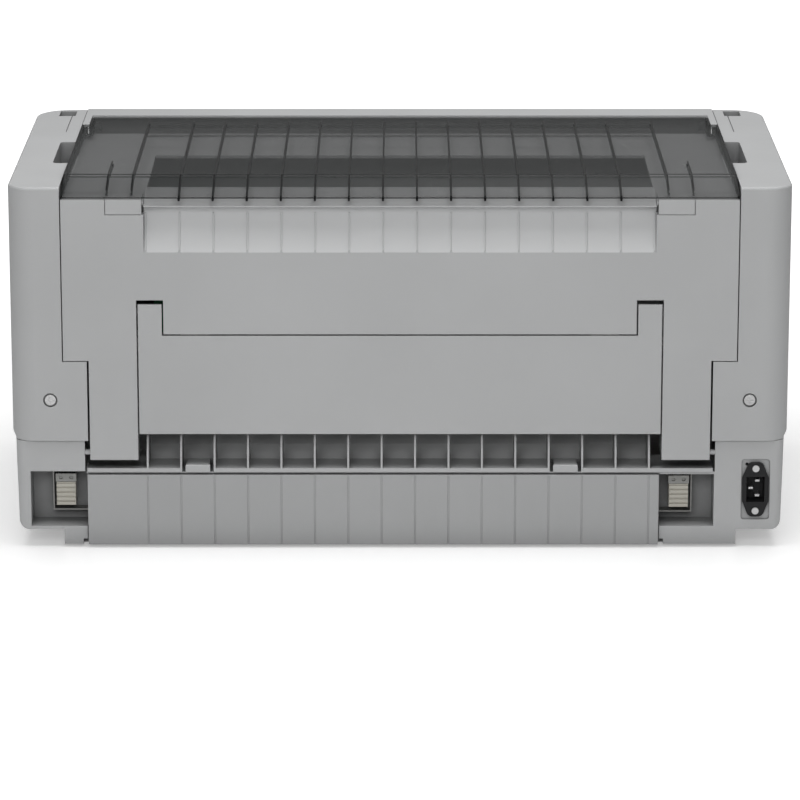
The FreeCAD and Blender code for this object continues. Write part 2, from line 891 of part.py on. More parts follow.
def pairs_within(half, pitch):
    """How many copies fit on each side of the middle plane, the first half a pitch from it."""
    return int(half.value / pitch.value + 1 / 2)


def fin_pairs():
    return pairs_within(flap_half() - s.guide_shift - s.fin_thickness / 2, s.fin_pitch)


def fin_places():
    """The x of each line that the fins of the paper guide, and the grooves under them, stand on."""
    return [step * s.fin_pitch + s.guide_shift for step in steps(2 * fin_pairs())]


def lower_rear_panel():
    """The grooved panel under the paper entry."""
    face = rear(s.seam)
    plate = box(panel_sides(), (rear(s.panel_thickness + s.seam), face), (s.skirt_bottom, s.panel_top))
    depth = (face - s.groove_depth, face + s.overrun)
    past = (ZERO, s.panel_top + s.overrun)
    grooves = [box(around(middle, s.groove_width), depth, past) for middle in fin_places()]
    return carved(plate, *grooves)


def both_sides(points):
    """An outline given on the +X half, top to bottom, closed by its mirror image."""
    return points + [(-x, z) for x, z in reversed(points)]


def paper_guide():
    """The rear paper entry: a long lip, a floor and a rising ramp behind it, and a row of fins."""
    lip, floor = s.guide_lip_top, s.guide_lip_bottom
    face, start, end = rear(s.seam), rear(s.guide_depth), rear(s.guide_ramp_reach)
    rise, reach = s.guide_ramp_top - lip, start - end
    bend_shares = ((0.33, 0.14), (0.76, 0.6), (1.0, 1.0))
    ramp = [(start, lip)] + [(start - reach * along, lip + rise * up) for along, up in bend_shares]
    back = [(y - s.wall, z) for y, z in ramp[:0:-1]]
    middle_half = (fin_pairs() - 1 / 2) * s.fin_pitch + s.fin_thickness / 2
    outline = [(face, floor), (face, lip)] + ramp + back + [(start - s.wall, floor)]
    base = prism("x", outline, (s.guide_shift - middle_half, s.guide_shift + middle_half))
    lip_half = trough_half() - s.guide_margin
    strip = box((-lip_half, lip_half), (rear(s.guide_lip_depth), face), (floor, lip))
    lift = s.fin_top - lip
    curve_shares = ((0.08, 0.4), (0.25, 0.72), (0.5, 0.94), (0.75, 1.0), (1.0, 1.0))
    curve = [(face, floor), (face, lip)]
    curve += [(rear(s.fin_depth * along), lip + lift * up) for along, up in curve_shares]
    curve += [(rear(s.fin_depth), floor)]
    fins = [prism("x", curve, around(middle, s.fin_thickness)) for middle in fin_places()]
    slots = [
        box(
            around(middle, s.fin_pitch - s.fin_thickness),
            (rear(s.clip_slot_depth), rear(ZERO) + s.overrun),
            (floor - s.overrun, lip + s.overrun),
        )
        for middle in clip_places()
    ]
    return fused(carved(fused(base, strip), *slots), *fins)


def clip_places():
    """The two clips stand in the third bay from one end and the fourth from the other."""
    return ((fin_pairs() - 2) * s.fin_pitch + s.guide_shift, (3 - fin_pairs()) * s.fin_pitch + s.guide_shift)


def guide_clips():
    """The retaining clips, each standing free in a slot of the guide's floor."""
    low = s.guide_lip_bottom
    top = low + s.clip_height
    depth = (rear(s.seam + s.clip_depth), rear(s.seam))
    clips = []
    for middle in clip_places():
        block = box(around(middle, s.clip_width), depth, (low, top))
        clips.append(softened(block, s.clip_round, lambda e: flat_at(e, top)))
    return fused(*clips)


def arc_radius(rise, depth):
    """Radius of an arc that leaves a flat face and is a depth behind it after a rise."""
    value = (rise.value**2 + depth.value**2) / (2 * depth.value)
    return Size(value, f"(({rise.text})^2 + ({depth.text})^2) / (2 * {depth.text})")


def scoop_top():
    return s.tab_bottom - s.tab_gap


def flap_half():
    return inside(s.flap_inset)


def scoop_half():
    return inside(s.scoop_inset)


def tab_sides():
    return (scoop_half() + s.tab_side_gap, inside(s.tab_outer_inset))


def rear_cover():
    """The inverted U at the back, with the concave paper scoop and its box-shaped legs on hinge barrels."""
    face, skin = rear(ZERO), rear(s.wall)
    pivot = rear_pivot()
    leg_inner = flap_half() + s.flap_seam
    ear_side = flap_half() - s.flap_ear_width - s.flap_seam
    tab_side = tab_sides()[1] + s.tab_gap
    half = [
        (scoop_half(), s.scoop_bottom),
        (scoop_half(), scoop_top()),
        (tab_side, scoop_top()),
        (tab_side, s.rear_cover_top),
        (cover_half(), s.rear_cover_top),
        (cover_half(), s.shoulder_height),
        (leg_outer(), s.shoulder_height),
        (leg_outer(), s.leg_bottom),
        (leg_inner, s.leg_bottom),
        (leg_inner, s.flap_ear_top + s.flap_ear_gap),
        (ear_side, s.flap_ear_top + s.flap_ear_gap),
        (ear_side, s.flap_top + s.flap_seam),
    ]
    sheet = prism("y", both_sides(half), (skin, face))
    rise = scoop_top() - s.scoop_bottom
    radius = arc_radius(rise, s.scoop_depth)
    centre = (face - s.scoop_depth + radius, scoop_top())
    long = (-scoop_half() - s.wall, scoop_half() + s.wall)
    behind = (face - s.scoop_depth - s.wall, face)
    room = box(long, behind, (s.scoop_bottom, scoop_top()))
    scoop = shared(room, tube("x", radius + s.wall, radius, long, *centre))
    upper = box(
        (-scoop_half(), scoop_half()),
        (behind[0], face - s.scoop_depth),
        (scoop_top() - s.wall, scoop_top() + s.scoop_rise),
    )
    cheek = box((scoop_half(), long[1]), behind, (s.scoop_bottom - s.wall, scoop_top()))
    blades = [
        box(around(step * s.guide_rib_pitch, s.guide_rib_thickness), behind, (s.scoop_bottom, scoop_top()))
        for step in steps(2 * pairs_within(scoop_half(), s.guide_rib_pitch))
    ]
    ribs = shared(fused(*blades), tube("x", radius + s.wall, radius - s.guide_rib_thickness, long, *centre))
    depth = (rear(s.leg_depth), skin)
    tall = (s.leg_bottom, s.shoulder_height)
    outer_wall = box((leg_outer() - s.wall, leg_outer()), depth, tall)
    inner_wall = box((leg_inner, leg_inner + s.wall), depth, tall)
    sole = box((leg_inner, leg_outer()), depth, (s.leg_bottom, s.leg_bottom + s.wall))
    barrel = rod("x", s.rear_barrel_radius, (leg_inner, leg_outer()), *pivot)
    pin = rod("x", s.rear_pin_radius, (leg_outer() - s.wall, leg_outer() + s.rear_pin_reach), *pivot)
    boss_ends = (leg_inner, leg_inner + s.flap_pin_reach)
    boss = rod("x", s.flap_boss_radius, boss_ends, *flap_pivot())
    side = fused(outer_wall, inner_wall, sole, barrel, pin, boss, cheek)
    bores = rod("x", s.flap_pin_radius + s.pin_clearance, (-boss_ends[1], boss_ends[1]), *flap_pivot())
    return carved(fused(sheet, scoop, upper, ribs, side, mirrored(side)), bores)


def flap_pivot():
    return (rear(s.flap_pivot_inset), s.flap_pivot_height)


def rear_flap():
    """The flap between the legs, hung from two ears."""
    face, skin = rear(ZERO), rear(s.wall)
    outer = flap_half()
    inner = outer - s.flap_ear_width
    half = [(inner, s.flap_top), (inner, s.flap_ear_top), (outer, s.flap_ear_top), (outer, s.flap_bottom)]
    sheet = prism("y", both_sides(half), (skin, face))
    barrel = rod("x", s.flap_boss_radius, (inner, outer), *flap_pivot())
    pin = rod("x", s.flap_pin_radius, (inner, outer + s.flap_pin_reach), *flap_pivot())
    hinge = fused(barrel, pin)
    return fused(sheet, hinge, mirrored(hinge))


def share_of(whole, part, total):
    """A size that is to a whole as a part is to its total."""
    value = whole.value * part.value / total.value
    return Size(value, f"({whole.text} * {part.text} / {total.text})")


def smoke_half():
    return inside(s.smoke_gap)


def smoke_narrow_half():
    """Half the cover's width in front of the jog, where the front cover's arms lie beside it."""
    return smoke_half() - s.smoke_jog


def smoke_height(place):
    """Height of the cover's outer line at a place between the crease and the front edge."""
    crease, edge = rear(s.smoke_crease_inset), front(s.smoke_front_inset)
    fall = s.smoke_crease_height - s.smoke_front_height
    return s.smoke_crease_height - share_of(fall, crease - place, crease - edge)


def smoke_outline(drop, stop, start):
    """The cover's own line from near the rear edge over the crease to a start, lowered by a drop."""
    rise = s.smoke_crease_height - s.smoke_rear_height - s.smoke_thickness
    end_height = s.smoke_rear_height + s.smoke_thickness + share_of(rise, stop, s.smoke_crease_inset)
    return [
        (rear(stop), end_height - drop),
        (rear(s.smoke_crease_inset), s.smoke_crease_height - drop),
        (start, smoke_height(start) - drop),
    ]


def smoke_strip(top, bottom, ends, start, stop=ZERO):
    """A strip of the cover between two drops below its outer line, from a start to a stop at the rear."""
    return prism("x", smoke_outline(top, stop, start) + smoke_outline(bottom, stop, start)[::-1], ends)


def smoke_skirt(half, ends):
    """The side wall that hangs from the cover's edge between two places along it."""
    start, stop = ends
    line = [(start, smoke_height(start)), (rear(s.smoke_crease_inset), s.smoke_crease_height)]
    line += [(stop, s.smoke_rear_height + s.smoke_thickness), (stop, s.smoke_rear_height)]
    line += [(rear(s.smoke_crease_inset), s.smoke_crease_height - s.smoke_side_drop)]
    line += [(start, smoke_height(start) - s.smoke_side_drop)]
    return prism("x", line, (half - s.smoke_thickness, half))


def smoked_cover():
    """The tinted sound cover: a folded sheet with side skirts, lengthwise ribs and two cross ribs."""
    half, narrow = smoke_half(), smoke_narrow_half()
    edge, jog, back = front(s.smoke_front_inset), front(s.smoke_jog_inset), rear(ZERO)
    thick = s.smoke_thickness
    tall = (s.smoke_rear_height - s.smoke_side_drop, s.smoke_crease_height + s.overrun)
    tip = box((-narrow, narrow), (edge, jog + s.overrun), tall)
    tip = softened(tip, s.smoke_front_corner, lambda e: runs_along(e, "z") and near(e.BoundBox.YMax, edge))
    plan = fused(box((-half, half), (jog, back), tall), tip)
    sheet = shared(smoke_strip(ZERO, thick, (-half, half), edge), plan)
    rib_bottom = thick + s.smoke_rib_depth
    start = front(s.smoke_rib_front)
    ribs = []
    outer = inside(s.smoke_outer_rib)
    for step in steps(2 * pairs_within(outer - s.guide_rib_pitch, s.guide_rib_pitch)):
        width = around(step * s.guide_rib_pitch, s.smoke_rib_thickness)
        ribs.append(smoke_strip(thick, rib_bottom, width, start))
    rib = smoke_strip(thick, rib_bottom, around(outer, s.smoke_rib_thickness), start, s.smoke_outer_rib_stop)
    short_ends = around(inside(s.smoke_short_rib), s.smoke_rib_thickness)
    short = smoke_strip(thick, rib_bottom, short_ends, rear(s.smoke_short_rib_inset), s.smoke_outer_rib_stop)
    wide_skirt = smoke_skirt(half, (jog, back))
    corner = edge + s.smoke_front_corner
    narrow_line = [(y, smoke_height(y)) for y in (corner, jog)]
    narrow_line += [(y, smoke_height(y) - s.smoke_side_drop) for y in (jog + thick, corner)]
    narrow_line.insert(2, (jog + thick, smoke_height(jog + thick)))
    narrow_skirt = prism("x", narrow_line, (narrow - thick, narrow))
    step_wall = box(
        (narrow - thick, half),
        (jog, jog + thick),
        (smoke_height(jog) - s.smoke_side_drop, smoke_height(jog) - thick / 2),
    )
    ear = rod("x", s.smoke_ear_width / 2, (narrow - s.smoke_ear_width, narrow), *smoke_pivot())
    pin = rod("x", s.smoke_pin_radius, (narrow - s.wall, half + s.smoke_pin_reach), *smoke_pivot())
    side = fused(rib, short, wide_skirt, narrow_skirt, step_wall, ear, pin)
    beams = [
        box(
            (-outer, outer),
            around(front(inset), s.smoke_rib_thickness),
            (smoke_height(front(inset)) - rib_bottom, smoke_height(front(inset)) - thick / 2),
        )
        for inset in (s.smoke_cross_rib_far, s.smoke_cross_rib_near)
    ]
    return fused(sheet, side, mirrored(side), *ribs, *beams)


def smoke_pivot():
    return (front(s.smoke_pivot_inset), s.smoke_front_height - s.smoke_pivot_drop)


def top_deck():
    """The light deck under the smoked cover, with the paper exit opening, its ramp and two rear tabs."""
    top, thick = s.deck_height, s.deck_thickness
    half, well = cover_half(), scoop_half()
    ahead, back = front(s.deck_front_inset), rear(s.wall + s.seam)
    plate = box((-half, half), (ahead, back), (top - thick, top))
    through = (top - thick - s.overrun, top + s.overrun)
    opening = box((-well, well), (front(s.exit_front_inset), rear(s.exit_rear_inset)), through)
    ramp_gap = box((-well, well), (rear(s.exit_rear_inset / 2), back + s.overrun), through)
    foot = rear(s.exit_rear_inset - s.wall)
    line = [
        (rear(s.seam), s.ramp_edge_height, s.ramp_edge_thickness),
        (rear(s.ramp_knee_inset), s.ramp_knee_height, s.ramp_knee_thickness),
        (rear(s.ramp_crest_inset), s.ramp_crest_height, thick),
        (foot, top, thick),
    ]
    outline = [(y, z) for y, z, _ in line] + [(y, z - deep) for y, z, deep in line[::-1]]
    ramp = prism("x", outline, (-inside(s.ramp_inset), inside(s.ramp_inset)))
    tab_top = s.rear_cover_top
    tab = fused(
        box(tab_sides(), (rear(s.wall), rear(ZERO)), (s.tab_bottom, tab_top)),
        box(tab_sides(), (rear(s.tab_reach), rear(ZERO)), (tab_top - thick, tab_top)),
    )
    side = chassis_half()
    leg = box((side - s.wall, side), (ahead + s.wall, chassis_reach()[1]), (s.chassis_top, top))
    return fused(carved(plate, opening, ramp_gap), ramp, tab, mirrored(tab), leg, mirrored(leg))


def chassis_half():
    return inside(s.chassis_inset)


def chassis_outer():
    return chassis_half() + s.chassis_thickness


def chassis_reach():
    """Front and rear ends of the steel frame."""
    return (front(s.chassis_front_inset), rear(s.chassis_rear_inset))


def front_face():
    return front(ZERO)


def bezel_centre():
    return inside(s.bezel_inset)


def bezel_box(margin, depth):
    side = around(bezel_centre(), s.bezel_width + 2 * margin)
    return box(side, depth, around(s.panel_centre_height, s.bezel_height + 2 * margin))


def front_fascia():
    """The fixed wall across the front, above the lower case, with the opening of the control panel."""
    half, ahead = cover_half(), front_face()
    low, top = s.housing_bottom - s.run_gap, s.front_cover_bottom - s.seam
    plate = box((-half, half), (ahead, ahead + s.wall), (low, top))
    ledge = box((-half, half), (ahead, ahead + 4 * s.wall), (low, low + s.wall))
    through = (ahead - s.overrun, ahead + s.wall + s.overrun)
    bay = bezel_box(s.seam / 2, (ahead - s.overrun, bezel_back()))
    window = window_box(-s.wall, through)
    holes = [button_box(middle, s.run_gap + s.wall / 2, through) for middle in button_places()]
    lamps = [lamp_hole(middle) for middle in lamp_places()]
    return carved(fused(plate, ledge), bay, window, *holes, *lamps)


def bezel_back():
    return front_face() + s.bezel_sink + s.bezel_thickness


def window_centre():
    return bezel_centre() - s.bezel_width / 2 + s.window_width / 2 + s.button_height


def window_box(margin, depth):
    height = s.panel_centre_height + s.bezel_height / 4 - s.wall / 2
    side = around(window_centre(), s.window_width + 2 * margin)
    return box(side, depth, around(height, s.window_height + 2 * margin))


def button_places():
    return [bezel_centre() + step * s.button_pitch for step in steps(5)]


def button_height():
    return s.panel_centre_height - s.bezel_height / 4


def button_box(middle, margin, depth):
    side = around(middle, s.button_width + 2 * margin)
    return box(side, depth, around(button_height(), s.button_height + 2 * margin))


def lamp_places():
    middle = bezel_centre() + s.bezel_width / 4
    return [middle + step * s.lamp_pitch for step in steps(4)]


def lamp_height():
    return s.panel_centre_height + s.bezel_height / 4 - s.wall / 2


def lamp_hole(middle):
    depth = (front_face() - s.overrun, front_face() + s.wall + s.overrun)
    return rod("y", s.lamp_radius, depth, middle, lamp_height())


def panel_bezel():
    """The dark plate of the control panel, set flush into the fascia."""
    front = front_face()
    plate = bezel_box(ZERO, (bezel_back() - s.bezel_thickness, bezel_back()))
    window = window_box(ZERO, (front - s.overrun, front + s.wall))
    holes = [button_box(middle, s.run_gap, (front - s.overrun, front + s.wall)) for middle in button_places()]
    lamps = [lamp_hole(middle) for middle in lamp_places()]
    return carved(plate, window, *holes, *lamps)


def display_window():
    return window_box(ZERO, (bezel_back() - s.window_thickness / 2, bezel_back()))


def status_lamps():
    low = front_face() + s.bezel_sink - s.seam / 2
    depth = (low, low + s.lamp_length)
    return fused(*[rod("y", s.lamp_radius, depth, middle, lamp_height()) for middle in lamp_places()])


def panel_button(middle):
    """A key cap flush with the fascia's face, with a wider skirt behind the fascia that stops it."""
    ahead = front_face()
    cap = button_box(middle, ZERO, (ahead, ahead + s.button_stem))
    skirt_front = ahead + s.wall + s.run_gap
    skirt = button_box(middle, s.wall, (skirt_front, skirt_front + s.button_skirt))
    cap = softened(cap, s.seam, lambda e: near(e.BoundBox.YMax, ahead))
    return fused(cap, skirt)


def button_board():
    """The circuit board behind the buttons, which the window and the lamps also stand on."""
    near_side = front_face() + s.button_stem + s.button_skirt + s.run_gap
    board = bezel_box(s.wall, (near_side, near_side + s.board_thickness))
    reach = (front_face() + s.wall, near_side)
    sides = around(bezel_centre(), s.bezel_width)
    posts = [rod("y", s.wall, reach, side, s.panel_centre_height) for side in sides]
    return fused(board, *posts)


def front_cover():
    """The cover over the ribbon: front wall, raised top strip with an arm along each side, and a barrel."""
    half, ahead = cover_half(), front_face()
    pivot = front_pivot()
    top, edge = s.body_top + s.front_cover_rise, s.front_cover_edge
    behind = smoke_pivot()[0] - s.smoke_pivot_drop
    outline = [
        (ahead, pivot[1]),
        (ahead, top - edge),
        (ahead + edge, top),
        (behind, top),
        (behind, top - s.wall),
        (ahead + edge + s.wall / 2, top - s.wall),
        (ahead + s.wall, top - edge - s.wall / 2),
        (ahead + s.wall, pivot[1]),
    ]
    sheet = prism("x", outline, (-half, half))
    arm_inner = smoke_narrow_half() + s.front_arm_gap
    arm = box((arm_inner, half), (behind - s.wall, front(s.front_arm_reach)), (top - s.wall, top))
    barrel = rod("x", s.front_barrel_radius, (-half, half), *pivot)
    pin_end = half + s.front_pin_reach
    pin = rod("x", s.front_pin_radius, (-pin_end, pin_end), *pivot)
    return fused(sheet, arm, mirrored(arm), barrel, pin)


def front_paper_door():
    """The fold-down door of the front paper entry, on a barrel that runs across its bottom."""
    half, ahead = door_half(), base_front()
    pivot = door_pivot()
    sheet = box((-half, half), (ahead, ahead + s.wall), (pivot[1], s.door_top))
    barrel = rod("x", s.door_barrel_radius, (-half, half), *pivot)
    pin_end = half + s.door_pin_reach
    pin = rod("x", s.door_pin_radius, (-pin_end, pin_end), *pivot)
    grip = box(
        around(ZERO, s.door_grip_width),
        (ahead - s.overrun, ahead + s.wall / 2),
        (s.door_top - s.door_grip_height, s.door_top + s.overrun),
    )
    return carved(fused(sheet, barrel, pin), grip)


def rocker_pivot():
    return (base_front() + 2 * s.wall, s.rocker_height)


def power_rocker():
    """The mains switch's rocker: two faces that meet at its axle, tipped to one side at rest."""
    pivot = rocker_pivot()
    half = s.rocker_length / 2 - s.run_gap
    proud = base_front()
    upper_share, back_share, lower_share = 0.96, 0.9, 0.94
    outline = [
        (proud, s.rocker_height),
        (proud - s.wall, s.rocker_height + half * upper_share),
        (pivot[0] + s.wall, s.rocker_height + half * back_share),
        (pivot[0] + 2 * s.wall, s.rocker_height),
        (pivot[0] + s.wall, s.rocker_height - half * back_share),
        (proud + s.seam, s.rocker_height - half * lower_share),
    ]
    cap = prism("x", outline, around(rocker_side(), s.rocker_width))
    pin_ends = around(rocker_side(), s.rocker_width + 2 * s.wall)
    return fused(cap, rod("x", s.rocker_pin_radius, pin_ends, *pivot))


def switch_body():
    """The housing behind the rocker, with the bores that its axle turns in."""
    pivot = rocker_pivot()
    face = base_front() + s.wall
    side = rocker_side()
    block = box(
        around(side, s.rocker_width + 4 * s.wall),
        (face, face + s.switch_depth),
        around(s.rocker_height, s.rocker_length + 4 * s.wall),
    )
    room = box(
        around(side, s.rocker_width + 2 * s.seam),
        (face - s.overrun, face + s.switch_depth - s.wall),
        around(s.rocker_height, s.rocker_length + 2 * s.seam),
    )
    bore_ends = around(side, s.rocker_width + 3 * s.wall)
    bore = rod("x", s.rocker_pin_radius + s.pin_clearance, bore_ends, *pivot)
    return carved(block, room, bore)


def latch_slide(side, bottom):
    """A ridged finger grip on a stem that runs in a slot of the recess's back wall."""
    wall_face = rear(s.recess_depth)
    back = wall_face + s.run_gap
    face = rear(s.latch_front_inset)
    grip = box(around(side, s.latch_width), (back, face), (bottom, bottom + s.latch_height))
    pitch = s.latch_height / s.latch_ridge_count.value
    middle = bottom + s.latch_height / 2
    depth = (face - s.latch_ridge_depth, face + s.overrun)
    wide = around(side, s.latch_width + 2 * s.overrun)
    places = [middle + step * pitch + pitch / 3 for step in steps(int(s.latch_ridge_count.value))]
    cuts = [box(wide, depth, around(place_z, pitch / 3)) for place_z in places]
    grip = carved(grip, *cuts)
    inner_face = wall_face - s.wall
    stem_end = inner_face - s.latch_stem_length
    width = s.latch_stem_width
    head_share = 1.6
    stem = box(around(side, width), (stem_end, back), around(middle, width))
    head_depth = (stem_end, inner_face - s.run_gap)
    head = box(around(side, 2 * width), head_depth, around(middle, width * head_share))
    return fused(grip, stem, head)


def latch_bracket(side, bottom, outward, stop):
    """The steel bracket over a latch, with its two pegs, and the thin wall and shelf of the latch's bay."""
    wall_face, ahead = rear(s.recess_depth), rear(s.latch_front_inset)
    low = bottom + s.latch_height + s.bracket_gap
    height = (low, low + s.bracket_height)
    thick = s.bracket_thickness
    web = box(around(side, s.bracket_width), (ahead - thick, ahead), height)
    past = (ahead - 2 * thick, ahead + s.overrun)
    arms, pegs, holes = [], [], []
    for middle in around(side, s.bracket_width - thick):
        arms.append(box(around(middle, thick), (wall_face, ahead), height))
    for middle in around(side, s.bracket_width / 2):
        place = (middle, low + s.bracket_height / 2)
        pegs.append(rod("y", s.bracket_peg_radius, (wall_face, ahead - thick / 2), *place))
        holes.append(rod("y", s.bracket_peg_radius + s.run_gap, past, *place))
    edge = side + (s.latch_width / 2 + s.blade_side_gap) * outward
    depth = (wall_face, wall_face + s.blade_depth)
    floor = bottom - s.latch_travel - s.bracket_gap - thick
    blade = box(around(edge, thick), depth, (floor, floor + s.blade_height))
    shelf_ends = (stop, edge) if outward > 0 else (edge, stop)
    shelf = box(shelf_ends, depth, (floor, floor + thick))
    return fused(carved(web, *holes), *arms, *pegs, blade, shelf)


def inlet_face():
    """The y of the floor of the inlet's pocket."""
    return rear(s.base_inset + s.inlet_pocket_depth)


def inlet_body():
    """The mains inlet: a flange that narrows to its screw ends, and a block with the socket in it."""
    face = inlet_face()
    ahead = face + s.inlet_flange_thickness
    side, height = inlet_side(), s.inlet_height
    end, wide = s.inlet_flange_end / 2, s.inlet_flange_width / 2
    flat, tall = s.inlet_flange_flat / 2, s.inlet_flange_height / 2
    outline = [(end, -tall), (wide, -flat), (wide, flat), (end, tall)]
    outline += [(-x, z) for x, z in reversed(outline)]
    flange = prism("y", [(side + x, height + z) for x, z in outline], (face, ahead))
    tips = lambda e: runs_along(e, "y") and abs(e.BoundBox.ZMax - height.value) > tall.value - s.seam.value
    flange = softened(flange, s.inlet_flange_round, tips)
    block = box(
        around(side, s.inlet_block_width - s.run_gap),
        (face - s.inlet_block_depth, ahead),
        around(height, s.inlet_block_height - s.run_gap),
    )
    socket = box(
        around(side, s.inlet_socket_width),
        (ahead - s.inlet_socket_depth, ahead + s.overrun),
        around(height, s.inlet_socket_height),
    )
    screws = inlet_screw_rods(s.screw_shank_radius, face - s.wall, ahead + s.overrun)
    return carved(fused(flange, block), socket, screws)


def inlet_screw_rods(radius, low, high):
    ends = (low, high)
    places = around(s.inlet_height, s.inlet_screw_pitch)
    return fused(*[rod("y", radius, ends, inlet_side(), height) for height in places])


def inlet_screws():
    """The two screws of the inlet's flange."""
    front = inlet_face() + s.inlet_flange_thickness
    heads = inlet_screw_rods(s.inlet_screw_radius, front, front + s.screw_head_thickness / 2)
    shanks = inlet_screw_rods(s.screw_shank_radius, inlet_face(), front + s.seam)
    return fused(heads, shanks)


def inlet_pins():
    """The three flat blades in the socket."""
    floor = inlet_face() + s.inlet_flange_thickness - s.inlet_socket_depth
    depth = (floor, floor + s.inlet_pin_length)
    side, shift = inlet_side(), s.inlet_pin_offset
    places = [(side - shift / 2, z) for z in around(s.inlet_height, s.inlet_pin_pitch)]
    places.append((side + shift, s.inlet_height))
    blades = [box(around(x, s.inlet_pin_height), depth, around(z, s.inlet_pin_width)) for x, z in places]
    return fused(*blades)


def pan_floor():
    return s.skirt_bottom + s.wall


def chassis_base():
    """The steel floor of the mechanism on its four posts."""
    front, back = chassis_reach()
    half = chassis_half()
    plate = box((-half, half), (front, back), (s.chassis_rise, s.chassis_rise + s.chassis_thickness))
    posts = []
    for side in (-half + 2 * s.post_radius, half - 2 * s.post_radius):
        for reach in (front + 2 * s.post_radius, back - 2 * s.post_radius):
            posts.append(rod("z", s.post_radius, (pan_floor(), s.chassis_rise), side, reach))
    return fused(plate, *posts)


def chassis_floor():
    return s.chassis_rise + s.chassis_thickness


def roller_axis():
    return (front(s.roller_inset), s.roller_height)


def pinion_axis():
    teeth = s.feed_gear_teeth.value + s.pinion_teeth.value
    return (roller_axis()[0], s.roller_height - s.gear_module * (teeth / 2) - s.gear_backlash)


def tractor_axis():
    return (rear(s.tractor_inset), s.tractor_height)


def guide_rod_axis():
    """The plain rod in front of the tractor shaft, which keeps the tractors from turning."""
    return (rear(s.tractor_inset) - s.tractor_length / 2 + s.tractor_hub_radius, s.tractor_height)


def chassis_side():
    """The upright steel plate on the +X side, with the bores that the shafts run in."""
    ends = chassis_reach()
    wall = (chassis_half(), chassis_outer())
    low = chassis_floor()
    plate = box(wall, ends, (low, s.chassis_top))
    flange = box((chassis_half() - 2 * s.post_radius, wall[1]), ends, (low, low + s.chassis_thickness))
    past = (wall[0] - s.overrun, wall[1] + s.overrun)
    bores = [
        rod("x", s.roller_shaft_radius + s.pin_clearance, past, *roller_axis()),
        rod("x", s.roller_shaft_radius + s.pin_clearance, past, *tractor_axis()),
        rod("x", s.pulley_bore + s.pin_clearance, past, *pinion_axis()),
    ]
    return carved(fused(plate, flange), *bores)


def platen_bottom():
    return s.rail_height + s.platen_rise


def platen_bar():
    """The flat steel bar that the print head strikes, held between the side plates."""
    low = platen_bottom()
    top = low + s.platen_height
    bar = box((-chassis_half(), chassis_half()), around(front(s.platen_inset), s.platen_depth), (low, top))
    return softened(bar, s.overrun, lambda e: runs_along(e, "x") and near(e.BoundBox.ZMax, top))


def platen_front():
    return front(s.platen_inset) - s.platen_depth / 2


def carriage_rails():
    ends = (-chassis_half(), chassis_half())
    return fused(*[rod("x", s.rail_radius, ends, reach, s.rail_height) for reach in rail_places()])


def carriage_top():
    return s.rail_height + s.carriage_height / 2


def rail_places():
    return (front(s.front_rail_inset), front(s.rear_rail_inset))


def belt_line():
    return front(s.belt_inset)


def belt_height():
    """The lower edge of the carriage belt, which runs just below the carriage's block."""
    return s.rail_height - s.carriage_height / 2 - s.belt_drop - s.belt_width


def carriage():
    """The block that rides on both rails, with a tongue that reaches down to the belt."""
    ahead, back = rail_places()
    depth = (ahead - s.carriage_margin, back + s.carriage_margin)
    block = box(around(ZERO, s.carriage_width), depth, around(s.rail_height, s.carriage_height))
    past = around(ZERO, s.carriage_width + 2 * s.overrun)
    radius = s.rail_radius + s.rail_clearance
    bores = [rod("x", radius, past, reach, s.rail_height) for reach in rail_places()]
    tongue = box(
        around(ZERO, s.carriage_width / 2),
        (belt_line(), belt_line() + s.pulley_radius + s.belt_clearance - s.run_gap),
        (belt_height(), s.rail_height - s.carriage_height / 2),
    )
    return fused(carved(block, *bores), tongue)


def print_head():
    """The wire print head: a finned body and a narrow nose that points at the platen."""
    nose_tip = platen_front() - s.head_nose_gap
    body_back = nose_tip - s.head_nose_width
    base = carriage_top()
    top = base + s.head_height
    depth = (body_back - s.head_depth, body_back)
    body = box(around(ZERO, s.head_width), depth, (base, top))
    middle = platen_bottom() + s.platen_height / 2
    nose = box(around(ZERO, s.head_nose_width), (body_back, nose_tip), around(middle, s.head_nose_height))
    fins = [
        box(around(step * s.head_fin_pitch, s.head_fin_width), depth, (top, top + s.head_fin_depth))
        for step in steps(int(s.head_fin_count.value))
    ]
    return fused(body, nose, *fins)


def ribbon_depth():
    """Front and rear ends of the ribbon cartridge, which lies in front of the print head."""
    back = platen_front() - s.head_nose_gap - s.head_nose_width - s.head_depth - s.seam
    return (back - s.ribbon_depth, back)


def ribbon_cartridge():
    """The flat ribbon case with the hole of its winding knob."""
    base, wall = carriage_top(), s.ribbon_wall
    low, high = ribbon_depth()
    case = box(around(ZERO, s.ribbon_width), (low, high), (base, base + s.ribbon_height))
    room = box(
        around(ZERO, s.ribbon_width - 2 * wall),
        (low + wall, high - wall),
        (base + wall, base + s.ribbon_height - wall),
    )
    past = (base + wall, base + s.ribbon_height + s.overrun)
    hole = rod("z", s.ribbon_stem_radius + s.pin_clearance, past, *ribbon_knob_place())
    return carved(case, room, hole)


def ribbon_knob_place():
    low, high = ribbon_depth()
    return (s.ribbon_width / 4, (low + high) / 2)


def ribbon_knob():
    """The winding knob: a disc on a stem, cut away to leave a bar across its top."""
    place = ribbon_knob_place()
    seat = carriage_top() + s.ribbon_height
    top = seat + s.ribbon_knob_height
    head = rod("z", s.ribbon_knob_radius, (seat + s.run_gap, top), *place)
    stem = rod("z", s.ribbon_stem_radius, (carriage_top() + s.ribbon_wall + s.run_gap, top), *place)
    wide, narrow = around(place[0], 2 * s.ribbon_knob_radius), around(place[1], s.ribbon_wall)
    slot = box(wide, narrow, (top - s.ribbon_wall, top + s.overrun))
    slot = carved(slot, rod("z", s.ribbon_stem_radius, (seat, top + 2 * s.overrun), *place))
    return carved(fused(head, stem), slot)


